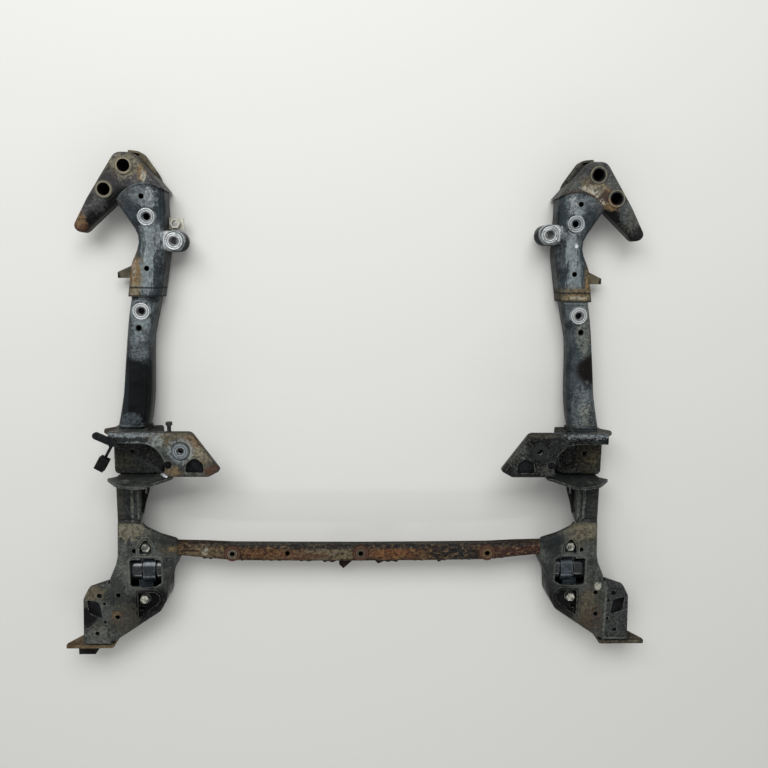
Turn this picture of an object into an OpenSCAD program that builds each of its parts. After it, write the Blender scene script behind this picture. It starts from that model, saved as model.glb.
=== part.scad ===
// Front subframe of a car: two pressed and welded side members, joined by a cross member.
// The frame lies on its back: +Z is the side that faces the road in the car, +Y runs from
// the base plates to the horns, +X is the right side of the view. Millimetres.

/* [Shells] */
// Height of the shells' front faces above the ground
face_z = 54; // [52:0.5:58]
// Height of the seam between the front and back shells
seam_z = 22; // [16:1:24]
// Sheet thickness of the shells
sheet = 3; // [2:0.25:3.5]
// Gap round a piece that passes through a hole
clear = 0.2; // [0.1:0.05:0.4]

/* [Horn] */
// Edge radius of the horn
horn_edge_r = 7; // [5:0.5:8]
// Radius of the bores through the horn
horn_bore_r = 9; // [7:0.25:9.25]
// Wall of the sleeves in the horn
horn_sleeve_wall = 1.75; // [1.5:0.25:2]
// Height of a sleeve's collar above the horn
horn_collar_h = 2; // [1:0.25:4]
// Width of a sleeve's collar beyond the sleeve
horn_collar_w = 2; // [1:0.25:2.5]
// Height of the lip round the horn's back plate
horn_lip_h = 20; // [12:1:26]
// Depth of the horn's hook
hook_depth = 22; // [16:1:30]

/* [Arm] */
// Edge radius of the arm
arm_edge_r = 13; // [9:0.5:15]
// Radius of the joint line between arm and horn
head_r = 47; // [44:0.5:49]
// Distance of the arm's lower end from the base plates' rear
arm_end_y = 604; // [598:1:610]
// How far the side tube reaches into the arm
tube_overlap = 12; // [6:1:20]

/* [Bolt sleeves] */
// Outer radius of the bolt sleeves
sleeve_r = 12.5; // [11:0.25:13.5]
// Bore radius of the bolt sleeves
sleeve_bore_r = 6.25; // [5:0.25:7]
// Height of the sleeves' ends above the face
sleeve_proud = 2; // [1:0.25:3]
// Lug height on the left side, along the frame
lug_y_left = 686.5; // [684:0.5:690]
// Lug height on the right side, along the frame
lug_y_right = 704.5; // [700:0.5:706]
// Outer radius of the lugs
lug_r = 15.5; // [15:0.25:17]
// Depth of the lugs
lug_depth = 36; // [24:1:44]

/* [Side tube] */
// Depth of the side tube
tube_depth = 43; // [38:0.5:43.5]
// Wall of the side tube
tube_wall = 2.5; // [2:0.25:3.5]
// Corner radius of the side tube
tube_corner_r = 15; // [11:0.5:17]

/* [Arm bracket] */
// Height of the bracket's front web above the ground
web_z = 88; // [84:0.5:92]
// Depth of the web's side walls
web_depth = 14; // [11:0.5:18]
// Edge radius of the web
web_edge_r = 6; // [4:0.5:7]
// Thickness of the two flanges
flange_t = 4; // [3:0.25:6]
// Gap between the two flanges
clevis_gap = 75; // [70:1:78]
// Radius of the pivot bolt holes in the flanges
pivot_r = 7; // [5:0.25:8]
// Height of the pivot bolt above the ground
pivot_z = 63.5; // [61:0.5:66]
// Outer radius of the nut collar in the web
collar_r = 12.5; // [10:0.25:13.5]
// Bore radius of the nut collar
collar_bore_r = 5.5; // [4:0.25:6.5]
// Length of the nut collar
collar_len = 28; // [20:1:34]

/* [Rail] */
// Height of the rail's front above the ground
rail_z = 50; // [47:0.5:50.5]
// How far the rail's walls lean in at the back
rail_lean = 8; // [4:0.5:9]
// Edge radius of the rail
rail_edge_r = 5; // [3:0.5:7]
// Height of the saddle between the flanges
saddle_z = 25; // [18:0.5:28]

/* [Corner] */
// Edge radius of the corner shells
corner_edge_r = 6; // [4:0.5:8]
// Depth of the bolt recesses
recess_depth = 10; // [6:0.5:12]
// Depth of the lip along the corner's open edges
corner_lip = 9; // [8:0.5:12]
// Height of the outer box above the corner's face
box_proud = 2; // [1:0.5:4]
// Thickness of the base plates
base_t = 5; // [4:0.5:8]
// Length of the base plates
base_len = 74; // [70:1:84]

/* [Mount] */
// Outer radius of the mount's carrier ring
carrier_r = 25; // [24:0.25:25.5]
// Wall of the carrier ring
carrier_wall = 5; // [4:0.25:6]
// Width of the carrier ring
carrier_w = 19; // [15:0.5:22]
// Length of the rubber bush
bush_len = 52; // [48:0.5:56]
// Outer radius of the mount's inner sleeve
core_r = 10; // [8:0.25:11]
// Bore radius of the mount's inner sleeve
core_bore_r = 6.5; // [5:0.25:7]
// Thickness of the carrier's ears
ear_t = 6; // [4:0.5:8]
// Shank radius of the mount bolts
bolt_r = 5; // [4:0.25:6]

/* [Cross member] */
// Height of the cross member's section along the frame
cross_h = 28; // [24:0.5:30]
// Depth of the cross member's section
cross_d = 22; // [18:0.5:24]
// Wall of the cross member
cross_wall = 2; // [1.5:0.25:3]
// Height of the cross member's front above the ground
cross_z = 50; // [48:0.5:50]
// Outer radius of the weld nuts on the cross member
nut_r = 12; // [9:0.25:12.5]
// Bore radius of the weld nuts
nut_bore_r = 4; // [3:0.25:6]

/* [Hidden] */
$fn = 48;

// Angle of one step round a rounded corner
arc_step = 22.5;
// Angle of one step over a rounded edge
edge_step = 30;
// Share of a step that rounding may add to a corner's angle
arc_slack = 0.01;
// Smallest corner radius that an inset leaves
min_r = 0.5;
// How far the straight sides of a bar lie inside its round ends
bar_ease = 0.05;
// Reach of a cutting tool past what it cuts
past = 1;
// Size of a cutting block
block = 160;

// Outlines are lists of corners [x, y, radius], counter-clockwise, on the right side of the frame.
// Y starts behind the base plates; mid_y moves the frame's middle to the origin.
base_y = 43;
foot_h = 10;

horn_bores = [[349, 793], [378.5, 759]];
horn_outline = [[345, 757, 3], [411, 696, 9], [430, 701, 9], [406, 746, 60], [363, 813, 14], [337, 813, 14],
  [288, 755, 3]];
horn_back_outline = [[345, 757, 3], [411, 696, 9], [430, 701, 9], [406, 746, 60], [366, 816, 8],
  [350, 820, 8], [333, 818, 12], [309, 784, 20], [300, 755, 3]];
hook_y = 745;
horn_lip_start = [352, 791];
horn_sleeve_r = horn_bore_r + horn_sleeve_wall;

ring_a = [319, 721];
head_cut_y = 705;
arm_outline = [[307, 585, 2], [356, 585, 2], [347, 652, 30], [330, 690, 32], [384, 770, 2], [345, 805, 2],
  [296, 800, 2], [293, 672, 50]];
arm_holes = [[325.6, 750], [321.2, 646]];
small_hole_r = 4;

lug_x = 280;
lug_root_x = 309;
lug_drop = 1;
lug_edge_r = 6;

ring_c = [333, 582.6];
tube_hole = [337.6, 557];
tube_z = face_z / 2;
tube_top_z = tube_z + tube_depth / 2;

ear_y = 322;
top_y = ear_y + clevis_gap;
tube_end_y = top_y + flange_t;
gusset_top_y = tube_end_y + sheet;
pivot_x = 364;
flange_front_z = web_z - web_edge_r;
flange_low_z = web_z - web_depth;
top_flange_profile = [[334, 0, 2], [384, 0, 2], [384, 30, 4], [396, 44, 4], [394, 56, 5],
  [376, flange_front_z, 5], [306, flange_front_z, 2], [306, flange_low_z, 2], [334, 52, 6]];
ear_rise = 4;
ear_dip = 2;
ear_profile = [[300, 0, 2], [384, 0, 2], [384, 36, 6], [396, 48, 4], [372, 82, 20],
  [348, web_z + ear_rise, 25], [286, web_z - ear_dip, 4], [286, flange_low_z, 4], [300, 40, 10]];
ear_bend_x = 330;
ear_root = [288, 335];
ear_tip_x = 396;

gusset_out_x = 400;
gusset_in_x = 232;
gusset_tip = [214, 345];
gusset_outline = [[gusset_in_x, ear_root[1], 6], [gusset_out_x, ear_root[1], 2],
  [gusset_out_x, gusset_top_y, 2], [257, gusset_top_y, 10], [gusset_tip[0], gusset_tip[1], 4]];
clevis_centre = [333, 351];
clevis_r = 37.5;
strap_end_x = 378;
web_window = [[266, 343, 3], [264, 357, 8], [252, 368, 8], [239, 357, 6], [238, 343, 3]];
web_notch = [291, 355];
web_notch_r = 6;
collar_at = [272, 376.5];
collar_proud = 1.5;
bump_size = [34, 24, 24];
bump_x = 236;

saddle_outline = [[392, ear_y, 8], [392, top_y, 8], [318, top_y, 3], [318, ear_y + 4.5, 3], [332, ear_y, 3]];
saddle_hole = [363, 359];

rail_start_y = 250;
rail_end_y = ear_y - flange_t;
rail_out_x = 383;
rail_outline = [[rail_out_x, 236, 2], [rail_out_x, 336, 2], [347, 336, 2], [347, 236, 2]];
rail_back_outline = [[rail_out_x - rail_lean, 236, 2], [rail_out_x - rail_lean, 336, 2], [343, 336, 2],
  [343.5, 292, 20], [352, 264, 30], [357, 236, 2]];
rail_strip_x = 354;
rail_strip_w = 4;
rail_strip_h = 2;
rail_slot = [349.5, 284, 294];
slot_w = 4;
wall_slot = [257, 271];
wall_slot_z = [16, 34];

box_x = 399;
box_y = base_y + base_t;
cross_x = 290;
corner_outline = [[box_x, box_y, 4], [box_x, 156, 14], [385, 188, 40], [382, 264, 2], [343.5, 264, 2],
  [343, 246, 10], [318, 233, 30], [cross_x, 224, 5], [cross_x, 188, 12], [307, 155, 30], [309, 122, 20],
  [320, 102, 15]];
corner_back_outline = [[box_x, box_y, 4], [box_x, 156, 14], [385, 188, 40], [382, 264, 2], [363, 264, 2],
  [363, 214, 8], [350, 201, 8], [318, 201, 8], [292, 184, 6], [307, 155, 30], [309, 122, 20], [320, 102, 15]];
web_reach = [347.5, 193];
arch_outline = [[352, 197.5, 3], [352, 213, 8], [343.5, 226, 5], [335.5, 226, 5], [327, 213, 8],
  [327, 197.5, 3]];
pocket_outline = [[357, 139, 8], [326, 139, 8], [316.5, 131, 8], [317, 119, 8], [327, 107, 8], [357, 87, 4]];
window_outline = [[365, 146, 4], [365, 191, 4], [316, 191, 4], [316, 150, 10], [322, 146, 4]];
window_slot = [[349, 143, 3], [349, 194.5, 3], [325, 194.5, 3], [325, 143, 3]];
corner_holes = [[357, 205.5], [350.5, 105], [385, 132]];
ring_hole = [387, 95];
ring_hole_r = 4;
ring_boss_r = 9;
ring_boss_h = 1.2;
box_outline = [[box_x, box_y, 1], [443, box_y, 5], [440, 126, 12], [430, 145, 8], [box_x, 156, 1]];
box_edge_r = 4;
box_face_z = face_z + box_proud;
box_holes = [[414, 132, 4], [406, 118.5, 3], [406, 87.5, 3], [419, 69, 3.5]];
box_eye = [[433.5, 125.5, 2], [413.5, 121, 9], [410.5, 95, 2], [430.5, 101, 9]];
pad_margin = 5;
box_pad = [[438, box_y + pad_margin, 4], [438, 77, 6], [424, 84, 8], [box_x + pad_margin, 79, 4],
  [box_x + pad_margin, box_y + pad_margin, 4]];
box_open_y = 116;
pad_h = 1.5;
base_in_x = box_x - 3;
half_w = base_in_x + base_len;
base_low_z = 6;
base_slope = [24, 42];
base_profile = [[base_in_x, base_low_z, 2], [half_w - base_slope[0], base_low_z, 3],
  [half_w, base_low_z + base_slope[1], 3], [half_w, box_face_z, 2], [base_in_x, box_face_z, 3]];
foot_at = [424, 30];
foot_size = [26, foot_h, 26];

mount_y = 168;
mount_x = 336.5;
mount_lift = 0.5;
mount_z = carrier_r + mount_lift;
bush_r = 22;
groove_r = 18;
groove_w = 3;
bush_x = 340.5;
core_proud = 4;
core_len = bush_len + 2 * core_proud;
bolt_places = [[339.5, 210], [344, 123.5]];
bolt_ear_r = 11;
seat_z = face_z - recess_depth;
ear_top_z = seat_z - sheet;
bolt_head_r = 7;
bolt_head_h = 7;
washer_r = 8.5;
washer_t = 2;

cross_reach = 12;
cross_edge_r = 7;
cross_half = [[0, 198.5, 0], [110, 199, 0], [205, 200, 0.5], [250, 203.5, 3], [cross_x, 206, 6],
  [cross_x + cross_reach, 206, 6]];
cross_nut_x = [-204, 0, 204];
cross_nut_y = 199.5;
cross_nut_h = 2.5;
cross_clip_x = -117;
// Torn strips of sheet under the cross member, each [x, x, reach] from its middle
flap_spans = [[-35, -13, 35], [22, 60, 27], [122, 140, 25]];
flap_t = 2;
flap_taper = 7;

tab_y = [631, 652];
tab_z = 22;
tab_len = 23.2;
tab_lip = 9;
clip_y = [705, 722];
clip_x = 272;
clip_nut_x = 284;
clip_nut_r = 8;
clip_nut_h = 9;
clip_bore_r = 4.5;
clip_z = 20;
stud_x = 290;
stud_r = 3;
stud_head_r = 5;
stud_len = 10;
stud_head_h = 5;
lever_points = [[394, 400], [370, 389], [293, 338]];
lever_w = [11, 4];
lever_t = 4;
link_points = [[374, 384.5], [388, 359]];
link_r = 2.2;
link_post_r = 3.2;
link_drop = 6;
link_z = web_z - link_drop;
link_grip = 6;
clip_block = [20, 14, 14];

horn_top_y = max([for (p = ring(horn_back_outline)) p[1]]);
mid_y = (horn_top_y + base_y - foot_h) / 2;

// Geometry of outlines
function unit(v) = v / norm(v);
function spin(v, a) = [v[0] * cos(a) - v[1] * sin(a), v[0] * sin(a) + v[1] * cos(a)];
function flat(lists) = [for (l = lists) each l];
function backwards(l) = [for (i = [len(l) - 1:-1:0]) l[i]];
function spot(p) = [p[0], p[1]];
function normal(a, b) = let (u = unit(b - a)) [-u[1], u[0]];
function turn(a, b, c) = let (u = b - a, v = c - b) atan2(u[0] * v[1] - u[1] * v[0], u * v);

// Mitre direction at corner b, one unit inside both edges
function mitre(a, b, c) = let (n = normal(a, b), t = turn(a, b, c)) (n + spin(n, t)) / (1 + cos(t));

// Points of the rounded corner b
function corner_arc(a, b, c, r) =
  let (n = normal(a, b), t = turn(a, b, c), s = sign(t), k = max(1, ceil(abs(t) / arc_step - arc_slack)),
    centre = b + s * r * mitre(a, b, c))
  [for (i = [0:k]) centre - s * r * spin(n, t * i / k)];

// Points of a whole rounded outline
function ring(v) = let (n = len(v)) flat([for (i = [0:n - 1])
  corner_arc(spot(v[(i + n - 1) % n]), spot(v[i]), spot(v[(i + 1) % n]), v[i][2])]);

// The same outline, moved in by d on every side
function inset(v, d) = let (n = len(v)) [for (i = [0:n - 1])
  let (a = spot(v[(i + n - 1) % n]), b = spot(v[i]), c = spot(v[(i + 1) % n]), q = b + d * mitre(a, b, c))
  [q[0], q[1], max(v[i][2] - sign(turn(a, b, c)) * d, min_r)]];

// X of the straight edge from corner i to corner j at a place along the frame
function edge_x(v, i, j, y) = v[i][0] + (v[j][0] - v[i][0]) * (y - v[i][1]) / (v[j][1] - v[i][1]);
function arm_outer_x(y) = edge_x(arm_outline, 1, 2, y);
function arm_inner_x(y) = edge_x(arm_outline, 7, 0, y);

// Smooth curve through a list of stations, with steps points between two stations
function between(l, i, f) =
  let (a = l[max(i - 1, 0)], b = l[i], c = l[i + 1], d = l[min(i + 2, len(l) - 1)])
  (2 * b + (c - a) * f + (2 * a - 5 * b + 4 * c - d) * f * f + (3 * b - a - 3 * c + d) * f * f * f) / 2;
function smooth(l, steps) = concat(
  [for (i = [0:len(l) - 2]) for (j = [0:steps - 1]) between(l, i, j / steps)], [l[len(l) - 1]]);

// Corners of a w by h rectangle round a centre
function rectangle(c, w, h, r) = [[c[0] + w / 2, c[1] - h / 2, r], [c[0] + w / 2, c[1] + h / 2, r],
  [c[0] - w / 2, c[1] + h / 2, r], [c[0] - w / 2, c[1] - h / 2, r]];

// Triangles between two rings of n points
function band(i, j, n) = flat([for (k = [0:n - 1])
  let (a = i * n + k, b = i * n + (k + 1) % n, c = j * n + (k + 1) % n, d = j * n + k)
  [[a, d, c], [a, c, b]]]);

// Side of the line from a to b on which p lies, and the way round a loop l of points v
function beside(a, b, p) = cross(b - a, p - a);
function way(v, l) =
  sign([for (i = [0:len(l) - 1]) cross(v[l[i]], v[l[(i + 1) % len(l)]])] * [for (i = l) 1]);

// Whether p lies in the triangle a, b, c
function within(a, b, c, p, w) = min(w * beside(a, b, p), w * beside(b, c, p), w * beside(c, a, p)) >= 0;

// Whether the corner k of a loop can be cut off as a triangle with no other point in it
function is_ear(v, l, k, w) =
  let (n = len(l), a = l[(k + n - 1) % n], b = l[k % n], c = l[(k + 1) % n])
  w * beside(v[a], v[b], v[c]) > 0
  && [for (q = l) if (q != a && q != b && q != c && within(v[a], v[b], v[c], v[q], w)) q] == [];
function ear(v, l, w, k = 1) = is_ear(v, l, k, w) ? k : ear(v, l, w, k + 1);

// Triangles that fill a loop
function filled(v, l, w) = len(l) == 3 ? [l] : let (n = len(l), k = ear(v, l, w))
  concat([[l[(k + n - 1) % n], l[k % n], l[(k + 1) % n]]],
    filled(v, [for (i = [1:n - 1]) l[(k + i) % n]], w));
function cap(r, l) = let (v = [for (p = r) spot(p)]) filled(v, l, way(v, l));

// Skin over a row of rings, capped at both ends or closed on itself
module skin(rings, closed = false) {
  n = len(rings[0]);
  m = len(rings);
  first = closed ? [] : cap(rings[0], [for (k = [0:n - 1]) k]);
  last = closed ? []
    : [for (t = cap(rings[m - 1], [for (k = [n - 1:-1:0]) k])) [for (k = t) k + (m - 1) * n]];
  loop = closed ? band(m - 1, 0, n) : [];
  polyhedron(flat(rings), concat(flat([for (i = [0:m - 2]) band(i, i + 1, n)]), first, last, loop));
}

// Heights and insets down a rounded edge, from the face to the rim
function edge_steps(rim_z, top_z, r, wall, step, lean = 0) =
  let (s = sign(top_z - rim_z))
  concat([for (a = [90:-step:0]) [top_z - s * (wall + r * (1 - sin(a))), wall + r * (1 - cos(a))]],
    [[rim_z, wall + lean]]);

function raised(outline, steps) = [for (e = steps) [for (p = ring(inset(outline, e[1]))) [p[0], p[1], e[0]]]];

// Pressed pan: a face at top_z with a rounded edge and a wall down to the open rim at rim_z, that can lean in
module pan(outline, rim_z, top_z, edge_r, wall, lean = 0) {
  inner_r = max(edge_r - wall, min_r);
  rows = concat(raised(outline, edge_steps(rim_z, top_z, inner_r, wall, 90, lean)),
    backwards(raised(outline, edge_steps(rim_z, top_z, edge_r, 0, edge_step, lean))));
  skin(top_z > rim_z ? rows : [for (r = rows) backwards(r)]);
}

// Solid with the outside of a pan
module mound(outline, low_z, high_z, edge_r) {
  skin(backwards(raised(outline, edge_steps(low_z, high_z, edge_r, 0, edge_step))));
}

// Straight prism of an outline between two heights
module prism(outline, low_z, high_z) {
  translate([0, 0, low_z]) linear_extrude(high_z - low_z) polygon(ring(outline));
}

// Plate across the frame: an outline in X and Z between two places along Y
module upright(profile, low_y, high_y) {
  translate([0, high_y, 0]) rotate([90, 0, 0]) linear_extrude(high_y - low_y) polygon(ring(profile));
}

// Round hole through everything between two heights
module drill(at, r, low_z = -past, high_z = web_z + block) {
  translate([at[0], at[1], low_z]) cylinder(r = r, h = high_z - low_z);
}

// Round sleeve between two heights
module sleeve(at, outer_r, bore_r, low_z, high_z) {
  difference() {
    drill(at, outer_r, low_z, high_z);
    drill(at, bore_r, low_z - past, high_z + past);
  }
}

// Block that cuts off all beyond a place along Y
module cut_beyond(y, up = true) {
  translate([0, up ? y : y - block * 4, -past]) cube([block * 4, block * 4, block]);
}

// Block that cuts off all below a height, in a part of the plan
module cut_under(low, high, z) {
  translate([low[0], low[1], -past]) cube([high[0] - low[0], high[1] - low[1], z + past]);
}

// Bar with round ends between two points
module bar(p, q, w) {
  d = q - p;
  translate(p) rotate(atan2(d[1], d[0])) translate([0, bar_ease - w / 2]) square([norm(d), w - 2 * bar_ease]);
  translate(p) circle(d = w);
  translate(q) circle(d = w);
}

// Puts a right-hand piece on the side s of the frame
module on_side(s) {
  translate([0, -mid_y, 0]) {
    if (s > 0) children();
    else mirror([1, 0, 0]) children();
  }
}

// Horn
module hook_relief() {
  cut_under([ring_a[0], hook_y - block], [ring_a[0] + block, hook_y], face_z - hook_depth);
}

module horn_front(s) color("slategray") on_side(s) difference() {
  pan(horn_outline, sheet, face_z, horn_edge_r, sheet);
  hook_relief();
  drill(ring_a, head_r);
  for (p = horn_bores) drill(p, horn_sleeve_r + clear);
}

module horn_back(s) color("darkkhaki") on_side(s) difference() {
  union() {
    prism(horn_back_outline, 0, sheet);
    intersection() {
      difference() {
        prism(horn_back_outline, 0, horn_lip_h);
        prism(inset(horn_back_outline, sheet), -past, horn_lip_h + past);
      }
      translate([horn_lip_start[0] - block, horn_lip_start[1], 0]) cube([block, block, block]);
    }
  }
  hook_relief();
  drill(ring_a, head_r);
  for (p = horn_bores) drill(p, horn_sleeve_r + clear);
}

module horn_sleeves(s) color("dimgray") on_side(s) for (p = horn_bores) difference() {
  union() {
    drill(p, horn_sleeve_r, 0, face_z + horn_collar_h);
    drill(p, horn_sleeve_r + horn_collar_w, face_z, face_z + horn_collar_h);
  }
  drill(p, horn_bore_r);
}

// Arm
module arm_span() {
  drill(ring_a, head_r);
  translate([ring_a[0] - block / 2, arm_end_y, -past]) cube([block, head_cut_y - arm_end_y, block]);
}

module arm_front(s) color("slategray") on_side(s) difference() {
  intersection() {
    pan(arm_outline, seam_z, face_z, arm_edge_r, sheet);
    arm_span();
  }
  drill(ring_a, sleeve_r + clear);
  for (p = arm_holes) drill(p, small_hole_r);
}

module arm_back(s) color("slategray") on_side(s) difference() {
  intersection() {
    pan(arm_outline, seam_z, 0, arm_edge_r, sheet);
    arm_span();
  }
  drill(ring_a, sleeve_r + clear);
}

function lug_y(s) = s > 0 ? lug_y_right : lug_y_left;
function lug_outline(s) = [[lug_root_x, lug_y(s) - lug_r, 2], [lug_root_x, lug_y(s) + lug_r, 2],
  [lug_x - lug_r, lug_y(s) + lug_r, lug_r - min_r], [lug_x - lug_r, lug_y(s) - lug_r, lug_r - min_r]];

module lug(s) color("slategray") on_side(s) difference() {
  pan(lug_outline(s), face_z - lug_depth, face_z - lug_drop, lug_edge_r, sheet);
  mound(arm_outline, 0, face_z, arm_edge_r);
  drill([lug_x, lug_y(s)], sleeve_r + clear);
}

module sleeves(s) color("silver") on_side(s) {
  sleeve(ring_a, sleeve_r, sleeve_bore_r, 0, face_z + sleeve_proud);
  sleeve([lug_x, lug_y(s)], sleeve_r, sleeve_bore_r, face_z - lug_depth, face_z + sleeve_proud);
  sleeve(ring_c, sleeve_r, sleeve_bore_r, tube_z - tube_depth / 2, tube_top_z + sleeve_proud);
}

// Small tab on the outer flank of the arm
module arm_tab(s) color("dimgray") on_side(s) {
  tab_reach = arm_outer_x(tab_y[0]) + tab_len;
  plan = [[arm_outer_x(tab_y[0]), tab_y[0]], [tab_reach, tab_y[0]], [tab_reach, tab_y[0] + tab_lip],
    [arm_outer_x(tab_y[1]), tab_y[1]]];
  translate([0, 0, tab_z]) linear_extrude(sheet) polygon(plan);
  translate([tab_reach - sheet, tab_y[0], tab_z - tab_lip]) cube([sheet, tab_lip, tab_lip]);
}

// Side tube
function arm_bore_w(y) = arm_outer_x(y) - arm_inner_x(y) - 2 * (sheet + 2 * clear);
function arm_bore_x(y) = (arm_outer_x(y) + arm_inner_x(y)) / 2;
tube_tip_y = arm_end_y + tube_overlap;
tube_lead = 2;
tube_stations = [
  [tube_tip_y, arm_bore_x(tube_tip_y), arm_bore_w(tube_tip_y)],
  [arm_end_y - tube_lead, arm_bore_x(arm_end_y), arm_bore_w(arm_end_y)],
  [575, 334, 42], [545, 339.2, 39], [500, 342.7, 41.5], [455, 345.7, 44.5], [420, 351.2, 46.5],
  [tube_end_y, 355.5, 46]];
tube_steps = 2;

function tube_rings(grow) = [for (q = smooth(tube_stations, tube_steps))
  [for (p = ring(rectangle([q[1], tube_z], q[2] + 2 * grow, tube_depth + 2 * grow, tube_corner_r + grow)))
    [p[0], q[0], p[1]]]];

module tube(s) color("slategray") on_side(s) difference() {
  skin(concat(backwards(tube_rings(0)), tube_rings(-tube_wall)), true);
  drill(ring_c, sleeve_r + clear);
  drill(tube_hole, small_hole_r, tube_z);
}

// Bracket for the control arm
module pivot_hole() {
  translate([pivot_x, ear_y - block / 2, pivot_z]) rotate([-90, 0, 0]) cylinder(r = pivot_r, h = 2 * block);
}

module top_flange(s) color("dimgray") on_side(s) difference() {
  upright(top_flange_profile, top_y, top_y + flange_t);
  pivot_hole();
}

module ear_flange(s) color("gray") on_side(s) difference() {
  lean = unit([ear_bend_x, ear_y] - ear_root);
  down = flange_t * [lean[1], -lean[0]];
  intersection() {
    linear_extrude(block) polygon([ear_root, ear_root + down, [ear_bend_x + down[0], ear_y - flange_t],
      [ear_tip_x, ear_y - flange_t], [ear_tip_x, ear_y], [ear_bend_x, ear_y]]);
    upright(ear_profile, ear_y - block, ear_y + block);
  }
  pivot_hole();
}

module saddle(s) color("darkslategray") on_side(s) difference() {
  pan(saddle_outline, 0, saddle_z, rail_edge_r, sheet);
  drill(saddle_hole, small_hole_r);
}

module gusset(s) color("dimgray") on_side(s) difference() {
  pan(gusset_outline, web_z - web_depth, web_z, web_edge_r, sheet);
  drill(clevis_centre, clevis_r);
  translate([clevis_centre[0], ear_y - block, 0])
    cube([block, block + clevis_centre[1] + clevis_r - ear_y, block]);
  translate([strap_end_x, ear_y, 0]) cube([block, block, block]);
  prism(web_window, web_z - web_depth / 2, web_z + past);
  drill(web_notch, web_notch_r, web_z - web_depth / 2);
  drill(collar_at, collar_r + clear);
}

module gusset_collar(s) color("gray") on_side(s)
  sleeve(collar_at, collar_r, collar_bore_r, web_z + collar_proud - collar_len, web_z + collar_proud);

module gusset_block(s) color("black") on_side(s)
  translate([bump_x, ear_root[1] + sheet, web_z - web_edge_r - bump_size[2]]) cube(bump_size);

// Rail between bracket and corner
module rail_ends() {
  cut_beyond(rail_end_y);
  cut_beyond(rail_start_y, false);
}

module rail_front(s) color("darkslategray") on_side(s) difference() {
  union() {
    pan(rail_outline, sheet, rail_z, rail_edge_r, sheet, rail_lean);
    translate([rail_strip_x - rail_strip_w / 2, rail_start_y, rail_z - past])
      cube([rail_strip_w, rail_end_y - rail_start_y, rail_strip_h + past]);
  }
  rail_ends();
  translate([rail_strip_x - block, wall_slot[0], wall_slot_z[0]])
    cube([block, wall_slot[1] - wall_slot[0], wall_slot_z[1] - wall_slot_z[0]]);
}

module rail_back(s) color("darkslategray") on_side(s) difference() {
  prism(rail_back_outline, 0, sheet);
  rail_ends();
  translate([0, 0, -past]) linear_extrude(sheet + 2 * past)
    bar([rail_slot[0], rail_slot[1]], [rail_slot[0], rail_slot[2]], slot_w);
}

// Corner box
module cup(outline, depth) {
  difference() {
    prism(outline, face_z - depth - sheet, face_z);
    prism(inset(outline, sheet), face_z - depth, face_z + past);
  }
}

module mount_window() {
  prism(window_outline, -past, face_z + past);
  prism(window_slot, -past, face_z + past);
}

module cross_opening() {
  translate([cross_x - block / 2, 0, 0]) rotate([90, 0, 90]) linear_extrude(block)
    polygon(ring(rectangle([cross_half[4][1], cross_z - cross_d / 2], cross_h - cross_half[4][2] + 2 * clear,
      cross_d + 2 * clear, cross_edge_r)));
}

module corner_front(s) color("dimgray") on_side(s) difference() {
  union() {
    difference() {
      pan(corner_outline, seam_z, face_z, corner_edge_r, sheet);
      cut_under(web_reach - [block, 0], web_reach + [0, block], face_z - corner_lip);
      for (o = [arch_outline, pocket_outline]) prism(inset(o, sheet / 2), seat_z, face_z + past);
    }
    for (o = [arch_outline, pocket_outline]) cup(o, recess_depth);
    drill(ring_hole, ring_boss_r, face_z - sheet / 2, face_z + ring_boss_h);
  }
  cut_beyond(rail_start_y);
  mount_window();
  cross_opening();
  for (p = corner_holes) drill(p, small_hole_r);
  for (p = bolt_places) drill(p, bolt_r + clear);
  drill(ring_hole, ring_hole_r);
}

module corner_back(s) color("dimgray") on_side(s) difference() {
  pan(corner_back_outline, seam_z, 0, corner_edge_r, sheet);
  cut_beyond(rail_start_y);
  mount_window();
}

module outer_box(s) color("gray") on_side(s) difference() {
  union() {
    pan(box_outline, 0, box_face_z, box_edge_r, sheet);
    prism(box_pad, box_face_z - past, box_face_z + pad_h);
  }
  cut_under([box_x - past, box_open_y], [half_w, box_open_y + block], box_face_z - corner_lip);
  for (p = box_holes) drill(p, p[2]);
  prism(box_eye, box_face_z - 2 * sheet, box_face_z + past);
}

module base_plate(s) color("sienna") on_side(s) upright(base_profile, base_y, base_y + base_t);

// Engine mount in the corner box
module disc_x(x0, len, r) {
  translate([x0, mount_y, mount_z]) rotate([0, 90, 0]) cylinder(r = r, h = len);
}

module mount_carrier(s) color("darkslategray") on_side(s) difference() {
  union() {
    disc_x(mount_x - carrier_w / 2, carrier_w, carrier_r);
    for (p = bolt_places) translate([0, 0, ear_top_z - ear_t]) linear_extrude(ear_t)
      bar([p[0], mount_y], p, 2 * bolt_ear_r);
  }
  disc_x(mount_x - carrier_w, 2 * carrier_w, carrier_r - carrier_wall);
  for (x = [mount_x - carrier_w / 2 - block, mount_x + carrier_w / 2]) disc_x(x, block, bush_r + clear);
  for (p = bolt_places) drill(p, bolt_r + clear);
}

module mount_rubber(s) color("black") on_side(s) difference() {
  low = bush_x - bush_len / 2;
  ring_low = mount_x - carrier_w / 2;
  ring_high = mount_x + carrier_w / 2;
  union() {
    disc_x(low, ring_low - groove_w - low, bush_r);
    disc_x(low, bush_len, groove_r);
    disc_x(ring_low, carrier_w, carrier_r - carrier_wall);
    disc_x(ring_high + groove_w, low + bush_len - ring_high - groove_w, bush_r);
  }
  disc_x(low - past, bush_len + 2 * past, core_r);
}

module mount_core(s) color("silver") on_side(s) difference() {
  disc_x(bush_x - core_len / 2, core_len, core_r);
  disc_x(bush_x - core_len / 2 - past, core_len + 2 * past, core_bore_r);
}

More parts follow.
